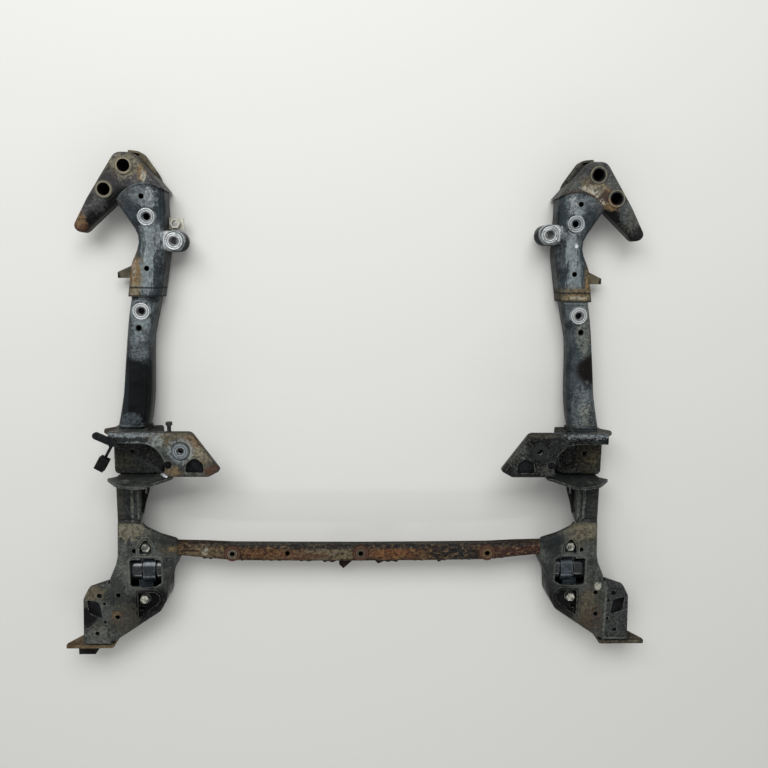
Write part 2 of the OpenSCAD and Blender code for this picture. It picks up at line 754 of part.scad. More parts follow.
module mount_bolts() color("silver") for (s = [1, -1]) on_side(s) for (p = bolt_places) {
  drill(p, bolt_r, ear_top_z - ear_t, seat_z);
  drill(p, washer_r, seat_z, seat_z + washer_t);
  translate([p[0], p[1], seat_z + washer_t]) cylinder(r = bolt_head_r, h = bolt_head_h, $fn = 6);
}

// Cross member
cross_stations = concat([for (q = backwards(cross_half)) [-q[0], q[1], q[2]]],
  [for (i = [1:len(cross_half) - 1]) cross_half[i]]);
cross_steps = 1;

function cross_rings(grow) = [for (q = smooth(cross_stations, cross_steps))
  [for (p = ring(rectangle([q[1], cross_z - cross_d / 2], cross_h - q[2] + 2 * grow, cross_d + 2 * grow,
    cross_edge_r + grow))) [q[0], p[0], p[1]]]];

module cross_member() color("saddlebrown") on_side(1) difference() {
  skin(concat(backwards(cross_rings(0)), cross_rings(-cross_wall)), true);
  for (x = concat(cross_nut_x, [cross_clip_x])) drill([x, cross_nut_y], nut_bore_r, cross_z - cross_d / 2);
}

module cross_nuts() color("sienna") on_side(1) for (x = cross_nut_x)
  sleeve([x, cross_nut_y], nut_r, nut_bore_r, cross_z, cross_z + cross_nut_h);

// Torn strips of sheet along the lower edge of the cross member
module cross_flaps() color("sienna") on_side(1) for (f = flap_spans)
  translate([0, 0, cross_z - cross_d - flap_t]) linear_extrude(flap_t)
    polygon([[f[0], cross_nut_y], [f[0], cross_nut_y - f[2] + flap_taper],
      [f[0] + flap_taper, cross_nut_y - f[2]], [f[1], cross_nut_y - f[2] + 2 * flap_taper],
      [f[1], cross_nut_y]]);

// Pieces on the left side only
module nut_clip() color("gray") on_side(-1) difference() {
  union() {
    translate([clip_x, clip_y[0], clip_z])
      cube([edge_x(arm_outline, 6, 7, clip_y[0]) - clip_x, clip_y[1] - clip_y[0], sheet]);
    translate([clip_nut_x, (clip_y[0] + clip_y[1]) / 2, clip_z])
      cylinder(r = clip_nut_r, h = clip_nut_h, $fn = 6);
  }
  drill([clip_nut_x, (clip_y[0] + clip_y[1]) / 2], clip_bore_r);
}

module stud() color("dimgray") on_side(-1)
  translate([stud_x, gusset_top_y, (flange_low_z + flange_front_z) / 2]) rotate([-90, 0, 0]) {
    cylinder(r = stud_r, h = stud_len);
    translate([0, 0, stud_len]) cylinder(r = stud_head_r, h = stud_head_h, $fn = 6);
  }

module foot() color("black") on_side(-1)
  translate([foot_at[0], base_y - foot_h, foot_at[1]]) cube(foot_size);

module lever() color("black") on_side(-1) translate([0, 0, web_z]) linear_extrude(lever_t) {
  bar(lever_points[0], lever_points[1], lever_w[0]);
  bar(lever_points[1], lever_points[2], lever_w[1]);
}

module link() color("black") on_side(-1) {
  d = link_points[1] - link_points[0];
  translate([link_points[0][0], link_points[0][1], link_z]) {
    rotate([0, 0, atan2(d[1], d[0])]) rotate([0, 90, 0]) cylinder(r = link_r, h = norm(d));
    cylinder(r = link_post_r, h = link_drop);
  }
}

module link_clip() color("black") on_side(-1) difference() {
  d = unit(link_points[1] - link_points[0]);
  translate([link_points[1][0], link_points[1][1], link_z]) rotate([0, 0, atan2(d[1], d[0])])
    translate([-link_grip, -clip_block[1] / 2, -clip_block[2] / 2]) cube(clip_block);
  translate([link_points[0][0], link_points[0][1], link_z]) rotate([0, 0, atan2(d[1], d[0])])
    rotate([0, 90, 0]) cylinder(r = link_r + clear, h = norm(link_points[1] - link_points[0]) + clear);
}

horn_front(1);  // right_horn_front
horn_front(-1);  // left_horn_front
horn_back(1);  // right_horn_back
horn_back(-1);  // left_horn_back
horn_sleeves(1);  // right_horn_sleeves
horn_sleeves(-1);  // left_horn_sleeves
arm_front(1);  // right_arm_front
arm_front(-1);  // left_arm_front
arm_back(1);  // right_arm_back
arm_back(-1);  // left_arm_back
lug(1);  // right_lug
lug(-1);  // left_lug
sleeves(1);  // right_sleeves
sleeves(-1);  // left_sleeves
tube(1);  // right_tube
tube(-1);  // left_tube
top_flange(1);  // right_top_flange
top_flange(-1);  // left_top_flange
ear_flange(1);  // right_ear_flange
ear_flange(-1);  // left_ear_flange
saddle(1);  // right_saddle
saddle(-1);  // left_saddle
gusset(1);  // right_gusset
gusset(-1);  // left_gusset
gusset_collar(1);  // right_gusset_collar
gusset_collar(-1);  // left_gusset_collar
gusset_block(1);  // right_gusset_block
gusset_block(-1);  // left_gusset_block
rail_front(1);  // right_rail_front
rail_front(-1);  // left_rail_front
rail_back(1);  // right_rail_back
rail_back(-1);  // left_rail_back
corner_front(1);  // right_corner_front
corner_front(-1);  // left_corner_front
corner_back(1);  // right_corner_back
corner_back(-1);  // left_corner_back
outer_box(1);  // right_outer_box
outer_box(-1);  // left_outer_box
base_plate(1);  // right_base_plate
base_plate(-1);  // left_base_plate
mount_carrier(1);  // right_mount_carrier
mount_carrier(-1);  // left_mount_carrier
mount_rubber(1);  // right_mount_rubber
mount_rubber(-1);  // left_mount_rubber
mount_core(1);  // right_mount_core
mount_core(-1);  // left_mount_core
arm_tab(1);  // right_arm_tab
arm_tab(-1);  // left_arm_tab
mount_bolts();
cross_member();
cross_nuts();
cross_flaps();
nut_clip();  // left_nut_clip
stud();  // left_stud
foot();  // left_foot
lever();  // left_lever
link();  // left_link
link_clip();  // left_link_clip
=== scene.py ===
"""Looks of a used front subframe of a car: paint, rust, dust, bare rings and weld beads on the solids."""
import logging
import math
from collections.abc import Sequence
from dataclasses import dataclass, field, replace
from enum import Enum
from typing import TypeVar

import bmesh
import bpy
from mathutils import Matrix, Vector
from mathutils.bvhtree import BVHTree


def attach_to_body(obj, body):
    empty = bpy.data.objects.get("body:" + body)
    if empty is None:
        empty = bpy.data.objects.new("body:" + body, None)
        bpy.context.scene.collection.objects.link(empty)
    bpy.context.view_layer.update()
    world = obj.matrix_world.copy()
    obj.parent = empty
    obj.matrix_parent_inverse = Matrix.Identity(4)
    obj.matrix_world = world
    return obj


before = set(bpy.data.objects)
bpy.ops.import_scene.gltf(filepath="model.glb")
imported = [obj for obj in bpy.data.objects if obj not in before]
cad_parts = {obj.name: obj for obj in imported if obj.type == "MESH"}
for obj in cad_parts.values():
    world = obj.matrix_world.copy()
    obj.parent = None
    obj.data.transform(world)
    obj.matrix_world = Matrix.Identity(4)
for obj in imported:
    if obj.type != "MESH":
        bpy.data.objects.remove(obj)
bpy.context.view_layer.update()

Socket = bpy.types.NodeSocket
Piece = bpy.types.Object
Plan = tuple[float, float]
Spot = tuple[float, float, float]
Band = tuple[float, float]
Value = Socket | float | tuple | Vector
Kind = TypeVar("Kind")

LOG = logging.getLogger("subframe")
MM = 0.001
MID_Y = 426.41
ABOVE_ALL = 300.0
BODY = "root"
UP = Vector((0, 0, 1))

# Noise: scale in clouds per metre, detail and roughness.
GRIT: Spot = (230.0, 5.0, 0.72)
FINE: Spot = (640.0, 3.0, 0.6)
FLAKE: Spot = (190.0, 6.0, 0.8)
SCRATCH: Spot = (1.0, 3.0, 0.5)
RING_BROAD: Spot = (190.0, 5.0, 0.66)
RING_FINE: Spot = (900.0, 2.0, 0.5)

# Detail and roughness of noise whose scale is the finish's own, and the scale of plain noise.
CLOUD_DETAIL: Band = (6.0, 0.66)
RAGGED_DETAIL: Band = (5.0, 0.68)
WORN = 120.0

# Where a mask starts and where it is full.
CLOUD_BAND: Band = (0.40, 0.60)
DARK_GRIT: Band = (0.50, 0.66)
PALE_GRIT: Band = (0.45, 0.32)
SCRATCHES: Band = (0.60, 0.70)
SCRATCHED: Band = (0.40, 0.62)
PALE_FLECKS: Band = (0.44, 0.34)
DARK_FLECKS: Band = (0.56, 0.68)
MOTTLE: Band = (0.45, 0.58)
PALE_FLAKES: Band = (0.53, 0.60)
DARK_FLAKES: Band = (0.47, 0.40)
WORN_BAND: Band = (0.40, 0.58)
RING_CLOUDS: Band = (0.48, 0.68)
PATCH_EDGE: Band = (1.12, 0.66)
EDGE_BAND: Band = (0.015, 0.16)
HOLLOW_BAND: Band = (0.15, 0.85)
FLANK_BAND: Band = (0.9, 0.3)

# How noise is drawn out, along and across a line.
SCRATCH_SHAPE: Band = (30.0, 700.0)
FLAKE_SHAPE: Band = (0.75, 1.2)
STREAK_SHAPE: Band = (0.3, 1.7)

RAGGED_GAIN = 2.8
EDGE_R = 1.6 * MM
HOLLOW_REACH = 20 * MM
MASK_SAMPLES = 4
BUMP_STRENGTH = 0.6
BORE_FADE: Band = (0.5, 0.1)
GROOVE_CORE = 0.4
NOISE_MIDDLE = 0.5

# Shares of the specks that are pale, and of each noise in colour, roughness and height.
PALE_GRIT_SHARE = 0.8
PALE_FLECK_SHARE = 0.7
UNEVEN = 0.5
GRIT_HEIGHT = 0.7
FINE_HEIGHT = 0.3
RING_CLOUD_SHARE = 0.6
RING_UNEVEN = 0.3
RING_POLISH = 0.12
# Share of black on the bore walls: painted shade inside the bores.
BORE_SHADE = 0.97

# Turning marks on ring faces, in radians per metre, and their share of the height.
TURNED = 5200.0
TURNED_HEIGHT = 0.25

# A bead's ends taper from this share of its size, by this much a step.
END_SHARE = 0.35
END_STEP = 0.25

RING_WELD = {"pitch": 3.2, "ripple": 0.1}
THREAD_TURNS = 4
THREAD_PITCH = 1.5
THREAD_START = 1.2
CHORDS = 32


def place(spot: Spot) -> Vector:
    """Turn X, distance from behind the base plates and height, in millimetres, into a point in metres."""
    return Vector((spot[0], spot[1] - MID_Y, spot[2])) * MM


class Side(Enum):
    """The two side members of the frame."""

    LEFT = -1
    RIGHT = 1

    def node(self, name: str) -> str:
        """Give the name of this side's node."""
        return f"{self.name.lower()}_{name}"

    def x(self, value: float) -> float:
        """Put a right-hand X on this side."""
        return self.value * value


class Tone(Enum):
    """Colours of paint, dirt, rust and bare steel, and of painted shade and sheen, as display hex."""

    SLATE = "535c60"
    SLATE_DARK = "24292d"
    SLATE_LIGHT = "9aa5a8"
    # Slate for painted shade on the flanks of the arm and the tube.
    SLATE_SHADE = "2b373d"
    HORN = "464446"
    HORN_DARK = "2e2d2f"
    GREY = "4c4f4c"
    GREY_DARK = "2c2f2e"
    GREY_LIGHT = "85887f"
    RIB = "5c5f59"
    OLIVE = "48453a"
    KHAKI = "8b8570"
    DUST = "6b624d"
    TAN = "86704e"
    ORANGE = "7e5638"
    RUST = "583c2d"
    BROWN = "4a382c"
    UMBER = "2a201b"
    PLUM = "47302c"
    STEEL = "d5d9da"
    STEEL_GREY = "939b9f"
    ZINC = "d4d1c2"
    PALE = "bab9aa"
    COAL = "1d2022"
    BLACK = "0a0a0b"
    MOUNT = "3d474f"

    @property
    def linear(self) -> tuple[float, float, float, float]:
        """Give the tone as scene-linear colour.

        Returns:
            Red, green, blue and alpha.
        """
        parts = [int(self.value[i:i + 2], 16) / 255 for i in (0, 2, 4)]
        light = [p / 12.92 if p <= 0.04045 else ((p + 0.055) / 1.055) ** 2.4 for p in parts]
        return light[0], light[1], light[2], 1.0


# Black tones of the fills put under holes: painted shade.
SHADE_FILL_TONES = (Tone.COAL, Tone.BLACK, Tone.UMBER, 0.9)
BARE_THREAD = {"rough": 0.35, "metal": 0.6, "grime": 0.35, "flank": 0.1}


class NodeWeb:
    """Small helper that wires the nodes of one material."""

    def __init__(self, material: bpy.types.Material) -> None:
        """Start an empty node tree.

        Args:
            material: The material to wire.
        """
        material.use_nodes = True
        self.tree = material.node_tree
        self.tree.nodes.clear()
        self.spot = self.add("TexCoord", {}, "Object")

    def add(self, kind: str, inputs: dict[int | str, Value], out: int | str = 0,
            **settings: str | int) -> Socket:
        """Add a node and feed its inputs.

        Args:
            kind: Blender's name of the node, after its first part that all share.
            inputs: Constants to set and outputs to link, by input.
            out: The output that is wanted.
            settings: Choices of the node.

        Returns:
            The output.
        """
        node = self.tree.nodes.new(f"ShaderNode{kind}")
        for name, choice in settings.items():
            setattr(node, name, choice)
        for key, value in inputs.items():
            if isinstance(value, Socket):
                self.tree.links.new(value, node.inputs[key])
            else:
                node.inputs[key].default_value = value
        return node.outputs[out]

    def math(self, operation: str, a: Value, b: Value = 0.0, clamp: bool = False) -> Socket:
        """Work out a number from two others, between 0 and 1 if clamped."""
        return self.add("Math", {0: a, 1: b}, operation=operation, use_clamp=clamp)

    def times(self, a: Value, b: Value) -> Socket:
        """Multiply two numbers."""
        return self.math("MULTIPLY", a, b)

    def vector(self, operation: str, a: Value, b: Value, out: int | str = 0) -> Socket:
        """Work out a vector or a number from two vectors."""
        return self.add("VectorMath", {0: a, 1: b}, out, operation=operation)

    def mix(self, share: Value, a: Value, b: Value) -> Socket:
        """Blend two colours by a share of the second."""
        return self.add("Mix", {0: share, 6: a, 7: b}, 2, data_type="RGBA")

    def fade(self, value: Socket, low: float, high: float, top: float = 1.0) -> Socket:
        """Rise smoothly from 0 at low to top at high."""
        span = {0: value, 1: low, 2: high, 3: 0.0, 4: top}
        return self.add("MapRange", span, interpolation_type="SMOOTHSTEP")

    def noise(self, scale: float, detail: float = 4.0, rough: float = 0.55,
              where: Socket | None = None) -> Socket:
        """Give cloudy noise from 0 to 1, with a scale in clouds per metre."""
        look = {"Vector": where or self.spot, "Scale": scale, "Detail": detail, "Roughness": rough}
        return self.add("TexNoise", look)

    def stretched(self, turn: float, along: float, across: float) -> Socket:
        """Give coordinates drawn out along a line in the face.

        Args:
            turn: Angle of the line from X, in degrees.
            along: Scale along the line.
            across: Scale across it.

        Returns:
            The coordinates.
        """
        rotation = (0.0, 0.0, math.radians(turn))
        scale = (1 / along, 1 / across, 1 / across)
        shape = {"Vector": self.spot, "Rotation": rotation, "Scale": scale}
        return self.add("Mapping", shape, vector_type="TEXTURE")

    def edges(self) -> Socket:
        """Find sharp edges.

        Returns:
            Mask of the edges.
        """
        bevel = self.add("Bevel", {"Radius": EDGE_R}, samples=MASK_SAMPLES)
        same = self.vector("DOT_PRODUCT", bevel, self.add("NewGeometry", {}, "Normal"), "Value")
        return self.fade(self.math("SUBTRACT", 1.0, same), *EDGE_BAND)

    def hollows(self) -> Socket:
        """Give a mask of hollows and inner corners, where shade falls; it is used to paint shade there."""
        open_share = self.add("AmbientOcclusion", {"Distance": HOLLOW_REACH}, "AO", samples=MASK_SAMPLES)
        return self.fade(self.math("SUBTRACT", 1.0, open_share), *HOLLOW_BAND)

    def flanks(self) -> Socket:
        """Give a mask of walls that do not look up, used to paint shade on them."""
        up = self.vector("DOT_PRODUCT", self.add("TexCoord", {}, "Normal"), UP, "Value")
        return self.fade(up, *FLANK_BAND)

    def close(self, colour: Socket, rough: Socket, metal: Value, height: Socket, depth: float,
              gloss: float) -> None:
        """Wire the surface shader.

        Args:
            colour: Base colour.
            rough: Roughness.
            metal: Metalness.
            height: Height of the grain.
            depth: Depth of the grain in metres.
            gloss: Level of the mirror-like share.
        """
        bump = self.add("Bump", {"Strength": BUMP_STRENGTH, "Distance": depth, "Height": height})
        shader = self.add("BsdfPrincipled", {"Base Color": colour, "Roughness": rough, "Metallic": metal,
                                             "Specular IOR Level": gloss, "Normal": bump})
        self.tree.links.new(shader, self.tree.nodes.new("ShaderNodeOutputMaterial").inputs["Surface"])


@dataclass(frozen=True)
class Patch:
    """A stain, a worn place, a rust patch, or a painted highlight or shade on a surface."""

    at: Spot
    reach: Spot
    tone: Tone
    strength: float = 0.8
    ragged: float = 0.7
    grain: float = 90.0
    rough: float = 0.75
    mixed: float = 0.7
    streak: float | None = None

    def on(self, side: Side) -> "Patch":
        """Put a right-hand patch on a side."""
        return replace(self, at=(side.x(self.at[0]), *self.at[1:]))

    def mask(self, web: NodeWeb) -> Socket:
        """Give the patch's mask.

        Args:
            web: The material's nodes.

        Returns:
            Number from 0 outside the patch to its strength inside.
        """
        away = web.vector("SUBTRACT", web.spot, place(self.at))
        scale = Vector([1 / (r * MM) for r in self.reach])
        distance = web.vector("LENGTH", web.vector("MULTIPLY", away, scale), Vector(), "Value")
        where = None if self.streak is None else web.stretched(self.streak, *STREAK_SHAPE)
        cloud = web.math("SUBTRACT", web.noise(self.grain, *RAGGED_DETAIL, where), NOISE_MIDDLE)
        ragged = web.math("ADD", distance, web.times(cloud, RAGGED_GAIN * self.ragged))
        return web.fade(ragged, *PATCH_EDGE, self.strength)


Patches = tuple[Patch, ...]


@dataclass(frozen=True)
class Finish:
    """Worn paint or bare metal with its stains, and painted shade on its walls and in its hollows."""

    name: str
    base: Tone
    shade: Tone
    edge: Tone = Tone.GREY_LIGHT
    rough: float = 0.5
    metal: float = 0.0
    wear: float = 0.5
    scuff: float = 0.35
    speck: float = 0.55
    # Share of black painted in hollows and inner corners: painted shade.
    grime: float = 0.6
    # Share of black painted on walls that do not look up: painted shade.
    flank: float = 0.45
    flake: float = 0.0
    gloss: float = 0.1
    grain: float = 38.0
    depth: float = 0.0009
    turn: float = 65.0
    patches: Patches = ()

    def coat(self, web: NodeWeb, clouds: Socket, grit: Socket, fine: Socket) -> Socket:
        """Colour the paint itself: clouds, grit, scratches and pale flecks.

        Args:
            web: The material's nodes.
            clouds: Broad noise.
            grit: Middle noise.
            fine: Fine noise.

        Returns:
            The colour.
        """
        shade, edge = self.shade.linear, self.edge.linear
        colour = web.mix(web.fade(clouds, *CLOUD_BAND), shade, self.base.linear)
        colour = web.mix(web.fade(grit, *DARK_GRIT, self.speck), colour, shade)
        colour = web.mix(web.fade(grit, *PALE_GRIT, PALE_GRIT_SHARE * self.speck), colour, edge)
        scratch = web.noise(*SCRATCH, web.stretched(self.turn, *SCRATCH_SHAPE))
        marks = web.times(web.fade(scratch, *SCRATCHES, self.scuff), web.fade(clouds, *SCRATCHED))
        colour = web.mix(marks, colour, edge)
        return web.mix(web.fade(fine, *PALE_FLECKS, PALE_FLECK_SHARE * self.speck), colour, edge)

    def stain(self, web: NodeWeb, colour: Socket, rough: Socket, grit: Socket) -> tuple[Socket, Socket]:
        """Lay the patches over the paint, one after the other.

        Args:
            web: The material's nodes.
            colour: Colour of the paint.
            rough: Its roughness.
            grit: Middle noise.

        Returns:
            The colour and the roughness.
        """
        for patch in self.patches:
            mask = patch.mask(web)
            mottle = web.mix(web.fade(grit, *MOTTLE, patch.mixed), patch.tone.linear, self.shade.linear)
            colour = web.mix(mask, colour, mottle)
            change = web.times(mask, web.math("SUBTRACT", patch.rough, rough))
            rough = web.math("ADD", rough, change, True)
        return colour, rough

    def weather_and_shade(self, web: NodeWeb, colour: Socket, fine: Socket) -> Socket:
        """Add dark flecks, flakes, painted shade on walls that do not look up, worn edges and painted shade
        in the hollows.

        Args:
            web: The material's nodes.
            colour: Colour of the stained paint.
            fine: Fine noise.

        Returns:
            The colour.
        """
        edge, black = self.edge.linear, Tone.BLACK.linear
        colour = web.mix(web.fade(fine, *DARK_FLECKS, self.speck), colour, self.shade.linear)
        if self.flake:
            flakes = web.noise(*FLAKE, web.stretched(self.turn, *FLAKE_SHAPE))
            colour = web.mix(web.fade(flakes, *PALE_FLAKES, self.flake), colour, edge)
            colour = web.mix(web.fade(flakes, *DARK_FLAKES, self.flake), colour, black)
        # Painted shade: walls that do not look up are darkened towards black.
        colour = web.mix(web.times(web.flanks(), self.flank), colour, black)
        worn = web.times(web.edges(), web.fade(web.noise(WORN), *WORN_BAND, self.wear))
        colour = web.mix(worn, colour, edge)
        # Painted shade: hollows and inner corners are darkened towards black.
        return web.mix(web.times(web.hollows(), self.grime), colour, black)

    def material(self) -> bpy.types.Material:
        """Make the material of the finish.

        Returns:
            The material.
        """
        made = bpy.data.materials.new(self.name)
        web = NodeWeb(made)
        clouds = web.noise(self.grain, *CLOUD_DETAIL)
        grit = web.noise(*GRIT)
        fine = web.noise(*FINE)
        uneven = web.times(web.math("SUBTRACT", grit, NOISE_MIDDLE), UNEVEN)
        rough = web.math("ADD", uneven, self.rough, True)
        colour, rough = self.stain(web, self.coat(web, clouds, grit, fine), rough, grit)
        colour = self.weather_and_shade(web, colour, fine)
        height = web.math("ADD", web.times(grit, GRIT_HEIGHT), web.times(fine, FINE_HEIGHT))
        web.close(colour, rough, self.metal, height, self.depth, self.gloss)
        return made


@dataclass(frozen=True)
class RingFinish:
    """Turned rings round bores: bright faces with grooves, and bore walls painted black as painted shade."""

    name: str
    axes: tuple[Plan, ...]
    bore_r: float
    grooves: tuple[float, ...]
    face: Tone
    groove: Tone
    rough: float = 0.35
    metal: float = 0.6
    patches: Patches = ()
    cut: float = 0.75
    line: float = 0.95
    depth: float = 0.0003
    gloss: float = 0.3

    def radius(self, web: NodeWeb) -> Socket:
        """Measure the distance from the nearest axis.

        Args:
            web: The material's nodes.

        Returns:
            The distance in metres.
        """
        flat = web.vector("MULTIPLY", web.spot, Vector((1, 1, 0)))
        spots = [place((axis[0], axis[1], 0.0)) for axis in self.axes]
        away = [web.vector("DISTANCE", flat, spot, "Value") for spot in spots]
        nearest = away[0]
        for distance in away[1:]:
            nearest = web.math("MINIMUM", nearest, distance)
        return nearest

    def material(self) -> bpy.types.Material:
        """Make the material of the rings.

        Returns:
            The material.
        """
        made = bpy.data.materials.new(self.name)
        web = NodeWeb(made)
        radius = self.radius(web)
        clouds = web.noise(*RING_BROAD)
        fine = web.noise(*RING_FINE)
        groove = self.groove.linear
        colour = web.mix(web.fade(clouds, *RING_CLOUDS, RING_CLOUD_SHARE), self.face.linear, groove)
        for patch in self.patches:
            colour = web.mix(patch.mask(web), colour, patch.tone.linear)
        line = self.line * MM
        for middle in self.grooves:
            near = web.math("ABSOLUTE", web.math("SUBTRACT", radius, middle * MM))
            colour = web.mix(web.fade(near, line, GROOVE_CORE * line, self.cut), colour, groove)
        # Painted shade: the walls inside the bore go black.
        outside, inside = ((self.bore_r + more) * MM for more in BORE_FADE)
        colour = web.mix(web.fade(radius, outside, inside, BORE_SHADE), colour, Tone.BLACK.linear)
        rough = web.math("ADD", web.times(clouds, RING_UNEVEN), self.rough - RING_POLISH)
        metal = web.fade(radius, inside, outside, self.metal)
        turned = web.math("SINE", web.times(radius, TURNED))
        height = web.math("ADD", web.times(turned, TURNED_HEIGHT), fine)
        web.close(colour, rough, metal, height, self.depth, self.gloss)
        return made


class Ground:
    """Finds the surface of CAD nodes under a place on the drawing."""

    def __init__(self, nodes: tuple[str, ...]) -> None:
        """Take the surfaces of the named nodes."""
        graph = bpy.context.evaluated_depsgraph_get()
        self.trees = [BVHTree.FromObject(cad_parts[n], graph) for n in nodes]

    def find(self, spot: Plan) -> tuple[Vector, Vector] | None:
        """Look down on the surfaces at a place.

        Args:
            spot: X and distance from behind the base plates, in millimetres.

        Returns:
            Highest point and its normal, or nothing where there is no surface.
        """
        start = place((spot[0], spot[1], ABOVE_ALL))
        hits = [tree.ray_cast(start, -UP) for tree in self.trees]
        found = [(hit[0], hit[1]) for hit in hits if hit[0] is not None]
        return max(found, key=lambda h: h[0].z) if found else None


@dataclass
class Bead:
    """A weld bead or pressed rib that lies on the solids along a line."""

    name: str
    path: Sequence[Plan]
    rests_on: tuple[str, ...]
    radius: float = 2.4
    pitch: float = 4.5
    ripple: float = 0.16
    flat: float = 0.7
    step: float = 1.2
    sides: int = 10
    level: float | None = None
    sink: float = 0.0

    def spots(self) -> list[Plan]:
        """Walk along the path in even steps.

        Returns:
            The places on the way.
        """
        walk: list[Plan] = []
        for (ax, ay), (bx, by) in zip(self.path, self.path[1:]):
            count = max(1, round(math.dist((ax, ay), (bx, by)) / self.step))
            walk += [(ax + (bx - ax) * i / count, ay + (by - ay) * i / count) for i in range(count)]
        return walk + [self.path[-1]]

    def stations(self) -> list[tuple[Vector, Vector]]:
        """Set the path on the surface, or at a level.

        Returns:
            Points of the path with the normals there.
        """
        walk = self.spots()
        if self.level is not None:
            drop = self.sink / len(walk)
            return [(place((x, y, self.level - drop * i)), UP) for i, (x, y) in enumerate(walk)]
        ground = Ground(self.rests_on)
        hits = [ground.find(spot) for spot in walk]
        return [hit for hit in hits if hit]

    def build(self) -> Piece:
        """Sweep a flattened round section along the path.

        Returns:
            The bead, riding on the frame.
        """
        rows = self.stations()
        last = len(rows) - 1
        turns = [2 * math.pi * k / self.sides for k in range(self.sides)]
        mesh = bmesh.new()
        rings: list[list[bmesh.types.BMVert]] = []
        travelled = 0.0
        for i, (point, normal) in enumerate(rows):
            ahead = rows[min(i + 1, last)][0] - rows[max(i - 1, 0)][0]
            aside = ahead.cross(normal).normalized()
            if i:
                travelled += (point - rows[i - 1][0]).length / MM
            end = min(1.0, END_SHARE + min(i, last - i) * END_STEP)
            wave = 1 + self.ripple * math.sin(2 * math.pi * travelled / self.pitch)
            r = self.radius * MM * wave * end
            ring = [point + aside * (r * math.cos(t)) + normal * (r * self.flat * math.sin(t))
                    for t in turns]
            rings.append([mesh.verts.new(corner) for corner in ring])
        for low, high in zip(rings, rings[1:]):
            for k in range(self.sides):
                after = (k + 1) % self.sides
                mesh.faces.new((low[k], low[after], high[after], high[k]))
        mesh.faces.new(rings[0][::-1])
        mesh.faces.new(rings[-1])
        bmesh.ops.recalc_face_normals(mesh, faces=mesh.faces)
        return attach(mesh, self.name)


def attach(mesh: bmesh.types.BMesh, name: str) -> Piece:
    """Turn a finished mesh into a piece that rides on the frame.

    Args:
        mesh: The mesh, in the part's frame.
        name: Name of the piece.

    Returns:
        The new object.
    """
    data = bpy.data.meshes.new(name)
    mesh.to_mesh(data)
    mesh.free()
    data.shade_smooth()
    piece = bpy.data.objects.new(name, data)
    bpy.context.scene.collection.objects.link(piece)
    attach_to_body(piece, BODY)
    return piece


def arc(centre: Plan, radius: float, start: float = 0, end: float = 360, steps: int = 40) -> list[Plan]:
    """Give points round a circle on the drawing, between two angles in degrees."""
    angles = [math.radians(start + (end - start) * i / steps) for i in range(steps + 1)]
    return [(centre[0] + radius * math.cos(a), centre[1] + radius * math.sin(a)) for a in angles]


def paint(thing: Piece, material: bpy.types.Material) -> None:
    """Give an object one material in all its slots.

    Args:
        thing: The object.
        material: Its material.
    """
    if not thing.material_slots:
        thing.data.materials.append(material)
    for slot in thing.material_slots:
        slot.material = material


@dataclass
class Group:
    """Added pieces that belong together."""

    pieces: list[Piece] = field(default_factory=list)

    def wear_pieces(self, finish: Finish, slot: str, pieces: Sequence[Piece] = ()) -> None:
        """Put a finish on added pieces.

        Args:
            finish: The finish.
            slot: Slot of the pieces; not used.
            pieces: The pieces, or none to take all of them.
        """
        material = finish.material()
        for piece in pieces or self.pieces:
            paint(piece, material)

    def report(self) -> None:
        """Log the pieces that were added."""
        for piece in self.pieces:
            LOG.info("%s: %d faces", piece.name, len(piece.data.polygons))


@dataclass
class Assembly(Group):
    """A group of CAD nodes and added pieces on one side, with sizes of the right-hand side."""

    side: Side = Side.RIGHT

    def pick(self, left: Kind, right: Kind) -> Kind:
        """Choose between the values of the two sides."""
        return left if self.side is Side.LEFT else right

    def mirror(self, path: Sequence[Plan]) -> tuple[Plan, ...]:
        """Put a right-hand path on this side."""
        return tuple((self.side.x(x), y) for x, y in path)

    def bead(self, name: str, path: Sequence[Plan], *rests_on: str, **sizes: float) -> Piece:
        """Add a weld bead or rib on this side.

        Args:
            name: Name of the piece, without its side.
            path: Right-hand path.
            rests_on: Nodes under it, without their side.
            sizes: Sizes of the bead that differ from a weld's.

        Returns:
            The new piece.
        """
        nodes = tuple(self.side.node(n) for n in rests_on)
        self.pieces.append(Bead(self.side.node(name), self.mirror(path), nodes, **sizes).build())
        return self.pieces[-1]

    def thread(self, name: str, axis: Plan, radius: float, top: float, half: float) -> Piece:
        """Wind a thread inside the mouth of a bore.

        Args:
            name: Name of the thread, without its side.
            axis: Right-hand axis of the bore.
            radius: Radius of the thread.
            top: Height of the bore's mouth.
            half: Half the thickness of the thread.

        Returns:
            The thread.
        """
        coil = arc(axis, radius, 0, 360 * THREAD_TURNS, CHORDS * THREAD_TURNS)
        return self.bead(name, coil, radius=half, ripple=0.0, level=top - THREAD_START,
                         sink=THREAD_TURNS * THREAD_PITCH)

    def finish(self, name: str, *looks: Tone | float, patches: Patches = (),
               **more: float) -> Finish:
        """Give this side's finish, with right-hand patches put on this side."""
        return Finish(self.side.node(name), *looks, patches=tuple(p.on(self.side) for p in patches), **more)

    def rings(self, name: str, axes: Sequence[Plan], *looks: float | tuple | Tone,
              patches: Patches = (), **more: float) -> RingFinish:
        """Give this side's turned rings, with right-hand axes and patches put on this side."""
        spots = tuple(p.on(self.side) for p in patches)
        return RingFinish(self.side.node(name), self.mirror(axes), *looks, patches=spots, **more)

    def wear(self, nodes: str, finish: Finish | RingFinish) -> None:
        """Put a finish on CAD nodes of this side.

        Args:
            nodes: Names of the nodes, without their side, with a space between them.
            finish: The finish.
        """
        material = finish.material()
        for name in nodes.split():
            paint(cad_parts[self.side.node(name)], material)

    def coat(self, nodes: str, name: str, *looks: Tone | float, **more: float | Patches) -> None:
        """Put a finish of their own on CAD nodes of this side."""
        self.wear(nodes, self.finish(name, *looks, **more))


